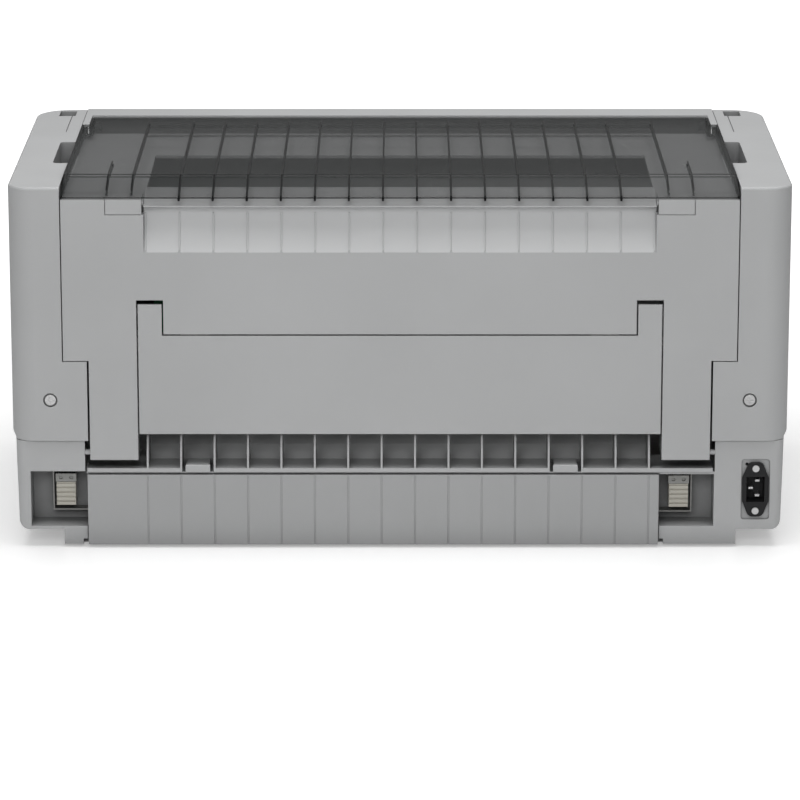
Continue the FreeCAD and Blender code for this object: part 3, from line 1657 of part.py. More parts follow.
def belt_loop(axis, first, second, radius, ends):
    """A flat belt round two equal pulleys: the band between two slots."""
    def slot(r):
        bridge = prism(axis, slot_sides(first, second, r), ends)
        return fused(rod(axis, r, ends, *first), rod(axis, r, ends, *second), bridge)

    return carved(slot(radius + s.belt_clearance + s.belt_thickness), slot(radius + s.belt_clearance))


def slot_sides(first, second, radius):
    """Four points: each centre moved to both sides by a radius, square to the line of centres."""
    across, up = second[0] - first[0], second[1] - first[1]
    length = f"sqrt({across.text}^2 + {up.text}^2)"
    reach = math.hypot(across.value, up.value)
    shift_a = Size(-up.value * radius.value / reach, f"(-{up.text} * {radius.text} / {length})")
    shift_b = Size(across.value * radius.value / reach, f"({across.text} * {radius.text} / {length})")
    return [
        (first[0] + shift_a, first[1] + shift_b),
        (first[0] - shift_a, first[1] - shift_b),
        (second[0] - shift_a, second[1] - shift_b),
        (second[0] + shift_a, second[1] + shift_b),
    ]


def pulley_side():
    return inside(s.pulley_inset)


def belt_ends():
    return (belt_height(), belt_height() + s.belt_width)


def carriage_belt():
    ends = ((-pulley_side(), belt_line()), (pulley_side(), belt_line()))
    return belt_loop("z", *ends, s.pulley_radius, belt_ends())


def belt_pulley(side):
    """A flanged pulley on its own short shaft, which runs in the motor or post below."""
    low, high = belt_ends()
    place = (side, belt_line())
    under, over = low - s.run_gap, high + s.run_gap
    wide, thick = s.pulley_radius + s.pulley_flange, s.pulley_flange_thickness
    wheel = rod("z", s.pulley_radius, (under, over), *place)
    low_flange = rod("z", wide, (under - thick, under), *place)
    high_flange = rod("z", wide, (over, over + thick), *place)
    shaft = rod("z", s.pulley_bore, (pulley_seat() - s.carriage_margin, low), *place)
    return fused(wheel, low_flange, high_flange, shaft)


def pulley_seat():
    """Top of the motor and of the idler's post, just under the pulleys' lower flange."""
    return belt_height() - s.run_gap - s.pulley_flange_thickness - s.run_gap


def pulley_bearing(side):
    low = pulley_seat() - s.carriage_margin - s.run_gap
    return rod("z", s.pulley_bore + s.pin_clearance, (low, pulley_seat() + s.overrun), side, belt_line())


def carriage_motor():
    """The carriage's stepper motor, on a column from the chassis floor."""
    top = pulley_seat()
    low = top - s.carriage_motor_height
    can = rod("z", s.carriage_motor_radius, (low, top), pulley_side(), belt_line())
    return carved(can, pulley_bearing(pulley_side()))


def motor_column():
    low = pulley_seat() - s.carriage_motor_height
    column_share = 1.4
    width = s.carriage_motor_radius * column_share
    return box(around(pulley_side(), width), around(belt_line(), width), (chassis_floor(), low))


def idler_post():
    post_share = 1.5
    width = s.pulley_radius * post_share
    post = box(around(-pulley_side(), width), around(belt_line(), width), (chassis_floor(), pulley_seat()))
    return carved(post, pulley_bearing(-pulley_side()))


def shaft_ends():
    end = chassis_outer() + s.shaft_overhang
    return (-end, end)


def feed_roller():
    """The rubber-covered paper roller; its shaft is a node of its own."""
    half = inside(s.roller_end_inset)
    return tube("x", s.roller_radius, s.roller_shaft_radius, (-half, half), *roller_axis())


def feed_shaft():
    return rod("x", s.roller_shaft_radius, shaft_ends(), *roller_axis())


def tractor_shaft():
    return rod("x", s.roller_shaft_radius, shaft_ends(), *tractor_axis())


def guide_rod():
    return rod("x", s.guide_rod_radius, (-chassis_half(), chassis_half()), *guide_rod_axis())


def gear(teeth, axis, first_tooth):
    """A spur gear with straight-sided teeth, its first tooth at an angle from +Y towards +Z."""
    module = s.gear_module.value
    root, tip = module * (teeth - 2.5) / 2, module * (teeth + 2) / 2
    pitch = 2 * math.pi / teeth
    root_share, tip_share = 0.31, 0.13
    points = []
    for tooth in range(teeth):
        middle = first_tooth + tooth * pitch
        for radius, share in ((root, -root_share), (tip, -tip_share), (tip, tip_share), (root, root_share)):
            angle = middle + share * pitch
            points.append(FreeCAD.Vector(0, radius * math.cos(angle), radius * math.sin(angle)))
    face = Part.Face(Part.makePolygon(points + points[:1]))
    wheel = doc.addObject("Part::Feature", "gear")
    wheel.Shape = face.extrude(FreeCAD.Vector(s.gear_width.value, 0, 0))
    return place(wheel, gear_side(), axis[0], axis[1])


def gear_ends():
    return (gear_side() - s.overrun, gear_side() + s.gear_width + s.overrun)


def feed_gear():
    """The large gear on the roller's shaft; a tooth gap points down at the pinion."""
    teeth = int(s.feed_gear_teeth.value)
    wheel = gear(teeth, roller_axis(), -math.pi / 2 + math.pi / teeth)
    return carved(wheel, rod("x", s.roller_shaft_radius, gear_ends(), *roller_axis()))


def motor_pinion():
    """The pinion with its shaft; a tooth points up into the feed gear."""
    wheel = gear(int(s.pinion_teeth.value), pinion_axis(), math.pi / 2)
    shaft_reach = (chassis_half() - s.carriage_margin, gear_side() + s.gear_width)
    shaft = rod("x", s.pulley_bore, shaft_reach, *pinion_axis())
    return fused(wheel, shaft)


def feed_motor():
    """The paper feed's stepper motor, flanged to the inside of the side plate."""
    length = (chassis_half() - s.feed_motor_length, chassis_half())
    can = rod("x", s.feed_motor_radius, length, *pinion_axis())
    low = chassis_half() - s.carriage_margin - s.run_gap
    bore = rod("x", s.pulley_bore + s.pin_clearance, (low, chassis_half() + s.overrun), *pinion_axis())
    return carved(can, bore)


def gear_side():
    return chassis_outer() + s.gear_gap


def feed_pulley_ends():
    low = -chassis_outer() - s.feed_pulley_gap - s.feed_pulley_width
    return (low, low + s.feed_pulley_width)


def feed_pulley(axis):
    """A plain pulley at the -X end of a feed shaft."""
    return tube("x", s.feed_pulley_radius, s.roller_shaft_radius, feed_pulley_ends(), *axis)


def feed_belt():
    low, high = feed_pulley_ends()
    ends = (low + s.run_gap, high - s.run_gap)
    return belt_loop("x", roller_axis(), tractor_axis(), s.feed_pulley_radius, ends)


def tractor(side):
    """A tractor unit: the block on both shafts with its row of sprocket pins on top."""
    reach, height = tractor_axis()
    ends, depth = around(side, s.tractor_width), around(reach, s.tractor_length)
    block = box(ends, depth, around(height, s.tractor_thickness))
    past = around(side, s.tractor_width + 2 * s.overrun)
    bores = [
        rod("x", s.roller_shaft_radius + s.pin_clearance, past, reach, height),
        rod("x", s.guide_rod_radius + s.pin_clearance, past, *guide_rod_axis()),
    ]
    top = height + s.tractor_thickness / 2
    tall = (top, top + s.tractor_pin_rise)
    places = [reach + step * s.tractor_pin_pitch for step in steps(4)]
    pins = [rod("z", s.tractor_pin_radius, tall, side, place_y) for place_y in places]
    hinge = gate_pivot()
    radius = s.gate_hinge_radius
    post = box(gate_lug_ends(side), around(hinge[0], 3 * radius), (height, hinge[1] + radius + radius / 2))
    hinge_bore = rod("x", radius / 2 + s.pin_clearance, past, *hinge)
    return carved(fused(block, post, *pins), hinge_bore, *bores)


def gate_pivot():
    """Place of the tractor gate's hinge, at the block's front end above the paper gap."""
    reach, height = tractor_axis()
    end = reach - s.tractor_length / 2 + 2 * s.gate_hinge_radius
    return (end, height + s.tractor_thickness / 2 + s.gate_gap + s.gate_hinge_radius)


def gate_lug_ends(side):
    """The lug takes the side of the block that looks outwards from the paper."""
    outward = s.tractor_width / 2 if side.value > 0 else -s.tractor_width / 2
    edge = side + outward
    return (edge - s.wall, edge) if side.value > 0 else (edge, edge + s.wall)


def tractor_gate(side):
    """The lid that holds the paper on the sprocket pins."""
    hinge = gate_pivot()
    reach = tractor_axis()[0]
    ends = around(side, s.tractor_width)
    lug_low, lug_high = gate_lug_ends(side)
    clear = box(
        (lug_low - s.run_gap, lug_high + s.run_gap),
        around(hinge[0], 5 * s.gate_hinge_radius),
        around(hinge[1], 6 * s.gate_hinge_radius),
    )
    low = hinge[1] - s.gate_hinge_radius
    lid = box(ends, (hinge[0], reach + s.tractor_length / 2), (low, low + s.gate_thickness))
    barrel = rod("x", s.gate_hinge_radius, ends, *hinge)
    pin = rod("x", s.gate_hinge_radius / 2, ends, *hinge)
    return fused(carved(fused(lid, barrel), clear), pin)


def supply_ends():
    """Front and rear ends of the power supply, which stands just in front of the fan."""
    back = fan_place()[1][0] - s.seam
    return (back - s.supply_depth, back)


def power_supply():
    """The vented steel box of the power supply."""
    floor = chassis_floor()
    top = floor + s.supply_height
    outer = -inside(s.supply_inset)
    depth = supply_ends()
    can = box((outer, outer + s.supply_width), depth, (floor, top))
    middle = outer + s.supply_width / 2
    slot_depth = around((depth[0] + depth[1]) / 2, s.supply_depth / 2)
    past = (top - s.wall, top + s.overrun)
    places = [middle + step * s.supply_slot_pitch for step in steps(9)]
    return carved(can, *[box(around(place, 2 * s.seam), slot_depth, past) for place in places])


def main_board():
    """The control board on its posts, with its larger chips and connectors."""
    low = chassis_floor() + s.board_rise
    top = low + s.board_thickness
    sides = (s.supply_width + s.board_gap - inside(s.supply_inset), inside(s.board_inset))
    back = supply_ends()[1]
    depth = (back - s.board_depth, back)
    board = box(sides, depth, (low, top))
    post_places = [(x, y) for x in inset_ends(sides) for y in inset_ends(depth)]
    posts = [rod("z", s.wall, (chassis_floor(), low), x, y) for x, y in post_places]
    middle, pitch = (sides[0] + sides[1]) / 2, (sides[1] - sides[0]) / 5
    chip_depth = around((depth[0] + depth[1]) / 2, s.board_chip_width)
    tall = (top, top + s.board_chip_height)
    chips = [box(around(middle + step * pitch, s.board_chip_width), chip_depth, tall) for step in steps(4)]
    return fused(board, *posts, *chips)


def inset_ends(ends):
    """Two places just inside the ends of the main board."""
    return (ends[0] + s.board_margin, ends[1] - s.board_margin)


def fan_place():
    """Middle of the fan, between the power supply and the rear end of the steel floor."""
    back = chassis_reach()[1] - s.fan_margin
    side = s.supply_width / 2 - inside(s.supply_inset)
    return (side, (back - s.fan_depth, back), chassis_floor() + s.fan_size / 2)


def fan_frame():
    """The square frame with its round duct, four struts and the rotor's pin."""
    side, depth, height = fan_place()
    frame = box(around(side, s.fan_size), depth, around(height, s.fan_size))
    duct = rod("y", s.fan_size / 2 - s.fan_wall, (depth[0] - s.overrun, depth[1] + s.overrun), side, height)
    strut_depth = (depth[0], depth[0] + s.fan_wall)
    wide = box(around(side, s.fan_size), strut_depth, around(height, s.fan_wall))
    tall = box(around(side, s.fan_wall), strut_depth, around(height, s.fan_size))
    pin = rod("y", s.fan_pin_radius, (depth[0], depth[1] - s.fan_wall), side, height)
    return fused(carved(frame, duct), wide, tall, pin)


def fan_rotor():
    """The hub with its blades, bored for the frame's pin."""
    side, depth, height = fan_place()
    span = (depth[0] + s.fan_wall + s.run_gap, depth[1] - s.run_gap)
    hub = rod("y", s.fan_hub_radius, span, side, height)
    reach = s.fan_size / 2 - s.fan_wall - s.seam
    count = int(s.fan_blade_count.value)
    blades = []
    for blade in range(count):
        vane = box((ZERO, reach), (span[0], span[1] - s.fan_wall), around(ZERO, s.fan_blade_thickness))
        spin = FreeCAD.Rotation(AXES["y"], 360 / count * blade)
        arm = doc.addObject("Part::Compound", "vane")
        arm.Links = [vane]
        arm.Placement = FreeCAD.Placement(FreeCAD.Vector(), spin)
        blades.append(place(arm, side, ZERO, height))
    past = (span[0] - s.overrun, depth[1] - s.fan_wall + s.run_gap)
    bore = rod("y", s.fan_pin_radius + s.pin_clearance, past, side, height)
    return carved(fused(hub, *blades), bore)


def casing():
    node("lower_case", lower_case())
    right = node("right_side_housing", side_housing())
    node("left_side_housing", mirrored(right))
    node("housing_screws", housing_screws())
    node("rubber_feet", rubber_feet())
    node("lower_rear_panel", lower_rear_panel())
    node("paper_guide", paper_guide())
    node("guide_clips", guide_clips())
    node("top_deck", top_deck())
    node("front_fascia", front_fascia())


def covers():
    node("smoked_cover", smoked_cover())
    node("rear_cover", rear_cover())
    node("rear_flap", rear_flap())
    node("front_cover", front_cover())
    node("front_paper_door", front_paper_door())


def operator_panel():
    node("panel_bezel", panel_bezel())
    node("display_window", display_window())
    node("status_lamps", status_lamps())
    node("button_board", button_board())
    for number, middle in enumerate(button_places(), start=1):
        node(f"panel_button_{number}", panel_button(middle))
    node("power_rocker", power_rocker())
    node("switch_body", switch_body())


def rear_fittings():
    names = ("right_latch", "left_latch")
    stops = (panel_sides()[1] + s.seam, panel_sides()[0] - s.seam)
    brackets = []
    for name, (side, bottom), stop in zip(names, latch_places(), stops):
        outward = 1 if side.value > 0 else -1
        node(name, latch_slide(side, bottom))
        brackets.append(latch_bracket(side, bottom, outward, stop))
    node("latch_brackets", fused(*brackets))
    node("inlet_body", inlet_body())
    node("inlet_screws", inlet_screws())
    node("inlet_pins", inlet_pins())


def chassis():
    node("chassis_base", fused(chassis_base(), motor_column(), idler_post()))
    right = node("chassis_side_right", chassis_side())
    node("chassis_side_left", mirrored(right))
    node("guide_rods", fused(carriage_rails(), guide_rod()))
    node("platen_bar", platen_bar())


def print_mechanism():
    node("carriage", carriage())
    node("print_head", print_head())
    node("ribbon_cartridge", ribbon_cartridge())
    node("ribbon_knob", ribbon_knob())
    node("carriage_belt", carriage_belt())
    node("drive_pulley", belt_pulley(pulley_side()))
    node("idler_pulley", belt_pulley(-pulley_side()))
    node("carriage_motor", carriage_motor())


def paper_feed():
    node("feed_roller", feed_roller())
    node("feed_shaft", fused(feed_shaft(), feed_pulley(roller_axis())))
    node("feed_gear", feed_gear())
    node("motor_pinion", motor_pinion())
    node("feed_motor", feed_motor())
    node("tractor_shaft", fused(tractor_shaft(), feed_pulley(tractor_axis())))
    node("feed_belt", feed_belt())
    for name, side in (("right", inside(s.tractor_side_inset)), ("left", -inside(s.tractor_side_inset))):
        node(f"{name}_tractor", tractor(side))
        node(f"{name}_tractor_gate", tractor_gate(side))


def electronics():
    node("power_supply", power_supply())
    node("main_board", main_board())
    node("fan_frame", fan_frame())
    node("fan_rotor", fan_rotor())


def check_document():
    doc.recompute()
    for thing in doc.Objects:
        if {"Invalid", "Error"} & set(thing.State):
            raise RuntimeError(f"{thing.Name} ({thing.Label}) did not build: {thing.State}")
    for name, thing in NODES.items():
        if thing.Shape.isNull() or not thing.Shape.isValid():
            raise RuntimeError(f"{name} has no valid shape")


def write_parts():
    os.makedirs("parts", exist_ok=True)
    for name, thing in NODES.items():
        shape = thing.Shape
        shape.exportStep(f"parts/{name}.step")
        bounds = shape.BoundBox
        height = f"z {bounds.ZMin:.1f}..{bounds.ZMax:.1f}"
        print(f"{name}: {len(shape.Solids)} solids, {shape.Volume:.0f} mm3, {height}")


casing()
covers()
operator_panel()
rear_fittings()
chassis()
print_mechanism()
paper_feed()
electronics()
check_document()
write_parts()
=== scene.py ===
import json
import math

import bpy
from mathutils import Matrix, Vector


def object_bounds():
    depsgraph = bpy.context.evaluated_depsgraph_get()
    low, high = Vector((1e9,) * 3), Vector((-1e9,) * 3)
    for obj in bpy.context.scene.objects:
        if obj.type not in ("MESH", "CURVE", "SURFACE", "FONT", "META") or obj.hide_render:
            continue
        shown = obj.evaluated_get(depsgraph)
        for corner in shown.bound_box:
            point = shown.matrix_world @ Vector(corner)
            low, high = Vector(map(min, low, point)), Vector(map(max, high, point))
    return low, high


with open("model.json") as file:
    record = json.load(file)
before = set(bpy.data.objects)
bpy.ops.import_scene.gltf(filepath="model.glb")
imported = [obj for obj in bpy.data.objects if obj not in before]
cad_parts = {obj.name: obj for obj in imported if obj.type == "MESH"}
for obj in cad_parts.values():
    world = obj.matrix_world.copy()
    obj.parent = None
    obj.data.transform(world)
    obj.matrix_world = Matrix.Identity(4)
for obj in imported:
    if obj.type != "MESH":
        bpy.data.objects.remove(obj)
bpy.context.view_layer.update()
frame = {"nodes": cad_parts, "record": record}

# Metres, in the frame of the CAD model: +Y is the rear, which the photograph shows.
MM = 0.001
REAR_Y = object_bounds()[1][1]

# Patterns of the finishes: cells to the metre, and levels of detail.
CLOUDS = (7.0, 4.0)
PLASTIC_RUB = (28.0, 5.0)
MOULD_GRAIN = (2000.0, 3.0)
DRAWN_LINES = (1400.0, 3.0)
SHEET_HAZE = (18.0, 4.0)
SHEET_RUB = (160.0, 5.0)

# How far rubbing takes the roughness of a surface down and up.
PLASTIC_ROUGHNESS_RANGE = (-0.05, 0.06)
METAL_ROUGHNESS_RANGE = (-0.07, 0.1)
SHEET_ROUGHNESS_RANGE = (-0.03, 0.05)

# A pattern is drawn out along an axis where its scale there is under 1.
DRAWN_STRETCH = (0.04, 1, 1)
SHEET_RUB_STRETCH = (1, 0.2, 1)

BEVEL_SAMPLES = 4
# Cosines between the rounded and the true normal at which an edge is fully lightened and not at all, as
# rubbing and a painted highlight.
WEAR_AND_HIGHLIGHT_COSINES = (0.75, 0.995)
METAL_EDGE = 0.3 * MM
METAL_LINE_DEPTH = 0.01 * MM

HOLLOW_SAMPLES = 6
HOLLOW_REACH = 40 * MM
# Open shares of the surroundings at which the painted shade in hollows is full and gone.
HOLLOW_SHADE_OPENNESS = (0.1, 0.8)

# The concave paper guide of the rear cover, by depth and height, and the factor of the painted light that
# makes it lighter.
GUIDE_DEPTHS = (100 * MM, 188.6 * MM)
GUIDE_HEIGHTS = (277.5 * MM, 322 * MM)
GUIDE_LIGHT_TONE = 1.2

# The ribs of the smoked cover, in metres from the middle and along the printer.
RIB_PITCH = 30.6 * MM
RIB_HALF = 0.75 * MM
RIB_FIELD = 214 * MM
RIB_ENDS = (-119 * MM, 189 * MM)
OUTER_RIB = 242 * MM
OUTER_ENDS = (-119 * MM, 179 * MM)
SHORT_RIB = 264.5 * MM
SHORT_ENDS = (85 * MM, 179 * MM)
CROSS_RIBS = (-111 * MM, -64 * MM)
# The crease, along which a dark line of shade is painted.
CREASE_LINE = (146.6 * MM, 150.0 * MM)
REAR_LINE = (188.8 * MM, 190 * MM)
REAR_HEIGHTS = (326 * MM, 327.8 * MM)
# The cover's side skirts: the rear pair, then the front pair, which steps in.
SKIRTS = (
    ((303.9 * MM, 306 * MM), (-102 * MM, 190 * MM)),
    ((296.6 * MM, 298.5 * MM), (-147 * MM, -101 * MM)),
)

ACRYLIC_IOR = 1.49
SHEET_EDGE = 0.4 * MM
SHEET_RUB_DEPTH = 0.004 * MM
SHEET_SHINE = 0.35
# The ribs' dark tone, near-full alpha and low shine; on the crease they paint a line of shade.
RIB_AND_CREASE_SHADE_TONE = 0.15
RIB_ALPHA = 0.97
RIB_SHINE = 0.1

BOARD_ROUGHNESS = 0.35
TRACK_SCALE = 120.0
TRACK_WIDTH = 0.03
TRACK_DEPTH = 0.02 * MM
TRACK_TONE = 1.7

WHITE = (1, 1, 1, 1)
FLOOR_SIZE = 12.0
FLOOR_COLOUR = (0.8, 0.8, 0.8)
FLOOR_ROUGHNESS = 0.35
# The floor's glow to the camera, by the distance from the middle at which it starts and ends.
FLOOR_GLOW = (0.35, 0.9)
GLOW_REACH = (0.4, 1.6)
AMBIENT = 0.28
# The name, place, target, size and power in watts of each soft light.
SOFTBOXES = (
    ("top_softbox", (0, 0.3, 2.6), (0, 0, 0.2), (2.2, 1.8), 48),
    ("front_softbox", (-0.6, -2.4, 3.0), (0, 0, 0.15), (1.6, 1.0), 7),
    ("rear_softbox", (0.3, 3.2, 1.7), (0, 0, 0.2), (2.0, 1.2), 37.5),
)

# The camera found from the photograph: its pitch, focal length and place behind the printer.
PHOTO_WIDTH_PX = 800
FOCAL_PX = 4350
SENSOR_MM = 36.0
CAMERA_DISTANCE = 3.828
CAMERA_HEIGHT = 1.130
CAMERA_PITCH = math.radians(14.5)


def object_place(tree):
    """Coordinates that ride with the object."""
    return tree.nodes.new("ShaderNodeTexCoord").outputs["Object"]


def principled(name, colour, roughness):
    """A new material with its node tree, shader and object coordinates."""
    material = bpy.data.materials.new(name)
    material.use_nodes = True
    tree = material.node_tree
    shader = tree.nodes["Principled BSDF"]
    shader.inputs["Base Color"].default_value = (*colour, 1)
    shader.inputs["Roughness"].default_value = roughness
    return material, tree, shader, object_place(tree)


def rest_axes(tree, place, origin):
    """Where a point is at rest, as X, Y and Z, from object coordinates and the object's origin at rest."""
    shift = tree.nodes.new("ShaderNodeVectorMath")
    shift.operation = "ADD"
    shift.inputs[1].default_value = origin
    tree.links.new(place, shift.inputs[0])
    split = tree.nodes.new("ShaderNodeSeparateXYZ")
    tree.links.new(shift.outputs["Vector"], split.inputs["Vector"])
    return split.outputs["X"], split.outputs["Y"], split.outputs["Z"]


def noise(tree, place, scale, detail, stretch=(1, 1, 1)):
    """A noise texture over the object, as many cells to the metre as the scale says."""
    mapping = tree.nodes.new("ShaderNodeMapping")
    mapping.inputs["Scale"].default_value = stretch
    tree.links.new(place, mapping.inputs["Vector"])
    texture = tree.nodes.new("ShaderNodeTexNoise")
    texture.inputs["Scale"].default_value = scale
    texture.inputs["Detail"].default_value = detail
    tree.links.new(mapping.outputs["Vector"], texture.inputs["Vector"])
    return texture.outputs["Fac"]


def spread(tree, value, low, high, start=0.3, end=0.7):
    """Maps a value from start to end, which hold most of a noise, to low to high."""
    ramp = tree.nodes.new("ShaderNodeMapRange")
    ramp.inputs["From Min"].default_value = start
    ramp.inputs["From Max"].default_value = end
    ramp.inputs["To Min"].default_value = low
    ramp.inputs["To Max"].default_value = high
    tree.links.new(value, ramp.inputs["Value"])
    return ramp.outputs["Result"]


def calculated(tree, operation, *values):
    """The result of a maths node; each value is a number or a socket."""
    node = tree.nodes.new("ShaderNodeMath")
    node.operation = operation
    for value, socket in zip(values, node.inputs):
        if hasattr(value, "is_output"):
            tree.links.new(value, socket)
        else:
            socket.default_value = value
    return node.outputs["Value"]


def band(tree, value, low, high):
    """1 between two values, 0 outside them."""
    return calculated(tree, "COMPARE", value, (low + high) / 2, (high - low) / 2)


def both(tree, first, second):
    """1 where two masks are both 1."""
    return calculated(tree, "MULTIPLY", first, second)


def mixed(tree, factor, first, second):
    """Mixes two colours by a factor; each is a colour or a socket."""
    mix = tree.nodes.new("ShaderNodeMix")
    mix.data_type = "RGBA"
    tree.links.new(factor, mix.inputs["Factor"])
    for value, socket in ((first, mix.inputs["A"]), (second, mix.inputs["B"])):
        if hasattr(value, "is_output"):
            tree.links.new(value, socket)
        else:
            socket.default_value = (*value, 1)
    return mix.outputs["Result"]


def scaled(colour, factor):
    """A colour made lighter or darker, at most white."""
    return tuple(min(1.0, part * factor) for part in colour)


def toned(tree, pattern, colour, low, high):
    """A colour that a pattern takes from one factor of it to another."""
    return mixed(tree, spread(tree, pattern, 0, 1), scaled(colour, low), scaled(colour, high))


def roughened(tree, shader, pattern, roughness, offsets):
    """Lets a pattern vary the roughness between two offsets from its plain value."""
    low, high = offsets
    tree.links.new(spread(tree, pattern, roughness + low, roughness + high), shader.inputs["Roughness"])


def rounded_normal(tree, radius):
    """The normal, as if each edge were rounded by a radius."""
    bevel = tree.nodes.new("ShaderNodeBevel")
    bevel.samples = BEVEL_SAMPLES
    bevel.inputs["Radius"].default_value = radius
    return bevel.outputs["Normal"]


def bumped(tree, shader, height, distance, normal=None):
    """Raises the surface by a pattern of heights, over a given normal or the plain one."""
    bump = tree.nodes.new("ShaderNodeBump")
    bump.inputs["Distance"].default_value = distance
    tree.links.new(height, bump.inputs["Height"])
    if normal is not None:
        tree.links.new(normal, bump.inputs["Normal"])
    tree.links.new(bump.outputs["Normal"], shader.inputs["Normal"])


def edge_mask(tree, radius):
    """1 on the edges within a radius, 0 on the flats."""
    geometry = tree.nodes.new("ShaderNodeNewGeometry")
    dot = tree.nodes.new("ShaderNodeVectorMath")
    dot.operation = "DOT_PRODUCT"
    tree.links.new(rounded_normal(tree, radius), dot.inputs[0])
    tree.links.new(geometry.outputs["Normal"], dot.inputs[1])
    return spread(tree, dot.outputs["Value"], 1.0, 0.0, *WEAR_AND_HIGHLIGHT_COSINES)


def painted_shade_mask(tree):
    """1 deep in hollows and corners, 0 on open faces: where shade is painted."""
    shade = tree.nodes.new("ShaderNodeAmbientOcclusion")
    shade.samples = HOLLOW_SAMPLES
    shade.inputs["Distance"].default_value = HOLLOW_REACH
    return spread(tree, shade.outputs["AO"], 1.0, 0.0, *HOLLOW_SHADE_OPENNESS)


def moulded_plastic(
    name, colour, roughness=0.5, depth=0.03 * MM, patch=0.03, wear_and_highlight=1.12, edge=0.5 * MM, hollow_shade_factor=1.0, shine=0.5
):
    """Injection-moulded plastic: eroded grain, faint clouds, edges painted lighter for rubbing and a painted
    highlight, hollows darkened by painted shade.
    """
    material, tree, shader, place = principled(name, colour, roughness)
    shader.inputs["Specular IOR Level"].default_value = shine
    tone = toned(tree, noise(tree, place, *CLOUDS), colour, 1 - patch, 1 + patch)
    # Edges are painted lighter: rubbing and a painted highlight.
    wear_highlight_and_shade_tone = mixed(tree, edge_mask(tree, edge), tone, scaled(colour, wear_and_highlight))
    # Hollows are painted darker: painted shade.
    if hollow_shade_factor < 1.0:
        wear_highlight_and_shade_tone = mixed(tree, painted_shade_mask(tree), wear_highlight_and_shade_tone, scaled(colour, hollow_shade_factor))
    tree.links.new(wear_highlight_and_shade_tone, shader.inputs["Base Color"])
    roughened(tree, shader, noise(tree, place, *PLASTIC_RUB), roughness, PLASTIC_ROUGHNESS_RANGE)
    bumped(tree, shader, noise(tree, place, *MOULD_GRAIN), depth, rounded_normal(tree, edge))
    return material


def casing_plastic(name, colour, hollow_shade_factor=1.0):
    """The casing's plastic, whose edges are well rubbed and carry a strong painted highlight."""
    return moulded_plastic(name, colour, wear_and_highlight=1.22, edge=0.8 * MM, hollow_shade_factor=hollow_shade_factor)


def painted_guide_light(name, colour, origin):
    """Casing plastic painted lighter inside the concave guide: painted light where the cover's overhang
    shades it.
    """
    material = casing_plastic(name, colour)
    tree = material.node_tree
    shader = tree.nodes["Principled BSDF"]
    _, depth, height = rest_axes(tree, object_place(tree), origin)
    # The concave guide, where light is painted.
    inside = both(tree, band(tree, depth, *GUIDE_DEPTHS), band(tree, height, *GUIDE_HEIGHTS))
    tone = shader.inputs["Base Color"].links[0].from_socket
    tree.links.new(mixed(tree, inside, tone, scaled(colour, GUIDE_LIGHT_TONE)), shader.inputs["Base Color"])
    return material


def brushed_metal(name, colour, roughness=0.35):
    """Plated metal with fine drawn lines."""
    material, tree, shader, place = principled(name, colour, roughness)
    shader.inputs["Metallic"].default_value = 1.0
    lines = noise(tree, place, *DRAWN_LINES, DRAWN_STRETCH)
    tree.links.new(toned(tree, lines, colour, 0.9, 1.08), shader.inputs["Base Color"])
    roughened(tree, shader, lines, roughness, METAL_ROUGHNESS_RANGE)
    bumped(tree, shader, lines, METAL_LINE_DEPTH, rounded_normal(tree, METAL_EDGE))
    return material


def ribs_and_crease_shade_mask(tree, axes):
    """1 on the cover's ribs, skirts and rear edge, which read nearly black through the tint, and on the
    crease, where a dark line of shade is painted.
    """
    side, along, height = axes
    across = calculated(tree, "ABSOLUTE", side)
    half = RIB_PITCH / 2
    from_rib = calculated(tree, "WRAP", calculated(tree, "SUBTRACT", across, half), half, -half)
    near = both(tree, band(tree, from_rib, -RIB_HALF, RIB_HALF), band(tree, across, 0, RIB_FIELD))
    masks = [both(tree, near, band(tree, along, *RIB_ENDS))]
    patches = [
        ((OUTER_RIB - RIB_HALF, OUTER_RIB + RIB_HALF), OUTER_ENDS),
        ((SHORT_RIB - RIB_HALF, SHORT_RIB + RIB_HALF), SHORT_ENDS),
        *(((0, OUTER_RIB), (middle - RIB_HALF, middle + RIB_HALF)) for middle in CROSS_RIBS),
        *SKIRTS,
    ]
    for sides, ends in patches:
        masks.append(both(tree, band(tree, across, *sides), band(tree, along, *ends)))
    # A painted line of shade along the crease.
    masks.append(band(tree, along, *CREASE_LINE))
    masks.append(both(tree, band(tree, height, *REAR_HEIGHTS), band(tree, along, *REAR_LINE)))
    total = masks[0]
    for mask in masks[1:]:
        total = calculated(tree, "MAXIMUM", total, mask)
    return total


def smoked_sheet(name, colour, alpha, roughness, origin):
    """Tinted clear plastic, a little uneven in tint, with fine rub marks, near-black ribs and a painted line
    of shade along the crease.
    """
    material, tree, shader, place = principled(name, colour, roughness)
    shader.inputs["IOR"].default_value = ACRYLIC_IOR
    ribs = ribs_and_crease_shade_mask(tree, rest_axes(tree, place, origin))
    tint = toned(tree, noise(tree, place, *SHEET_HAZE), colour, 0.92, 1.08)
    tree.links.new(mixed(tree, ribs, tint, scaled(colour, RIB_AND_CREASE_SHADE_TONE)), shader.inputs["Base Color"])
    tree.links.new(spread(tree, ribs, alpha, RIB_ALPHA, 0.0, 1.0), shader.inputs["Alpha"])
    tree.links.new(spread(tree, ribs, SHEET_SHINE, RIB_SHINE, 0.0, 1.0), shader.inputs["Specular IOR Level"])
    rub = noise(tree, place, *SHEET_RUB, SHEET_RUB_STRETCH)
    roughened(tree, shader, rub, roughness, SHEET_ROUGHNESS_RANGE)
    bumped(tree, shader, rub, SHEET_RUB_DEPTH, rounded_normal(tree, SHEET_EDGE))
    return material


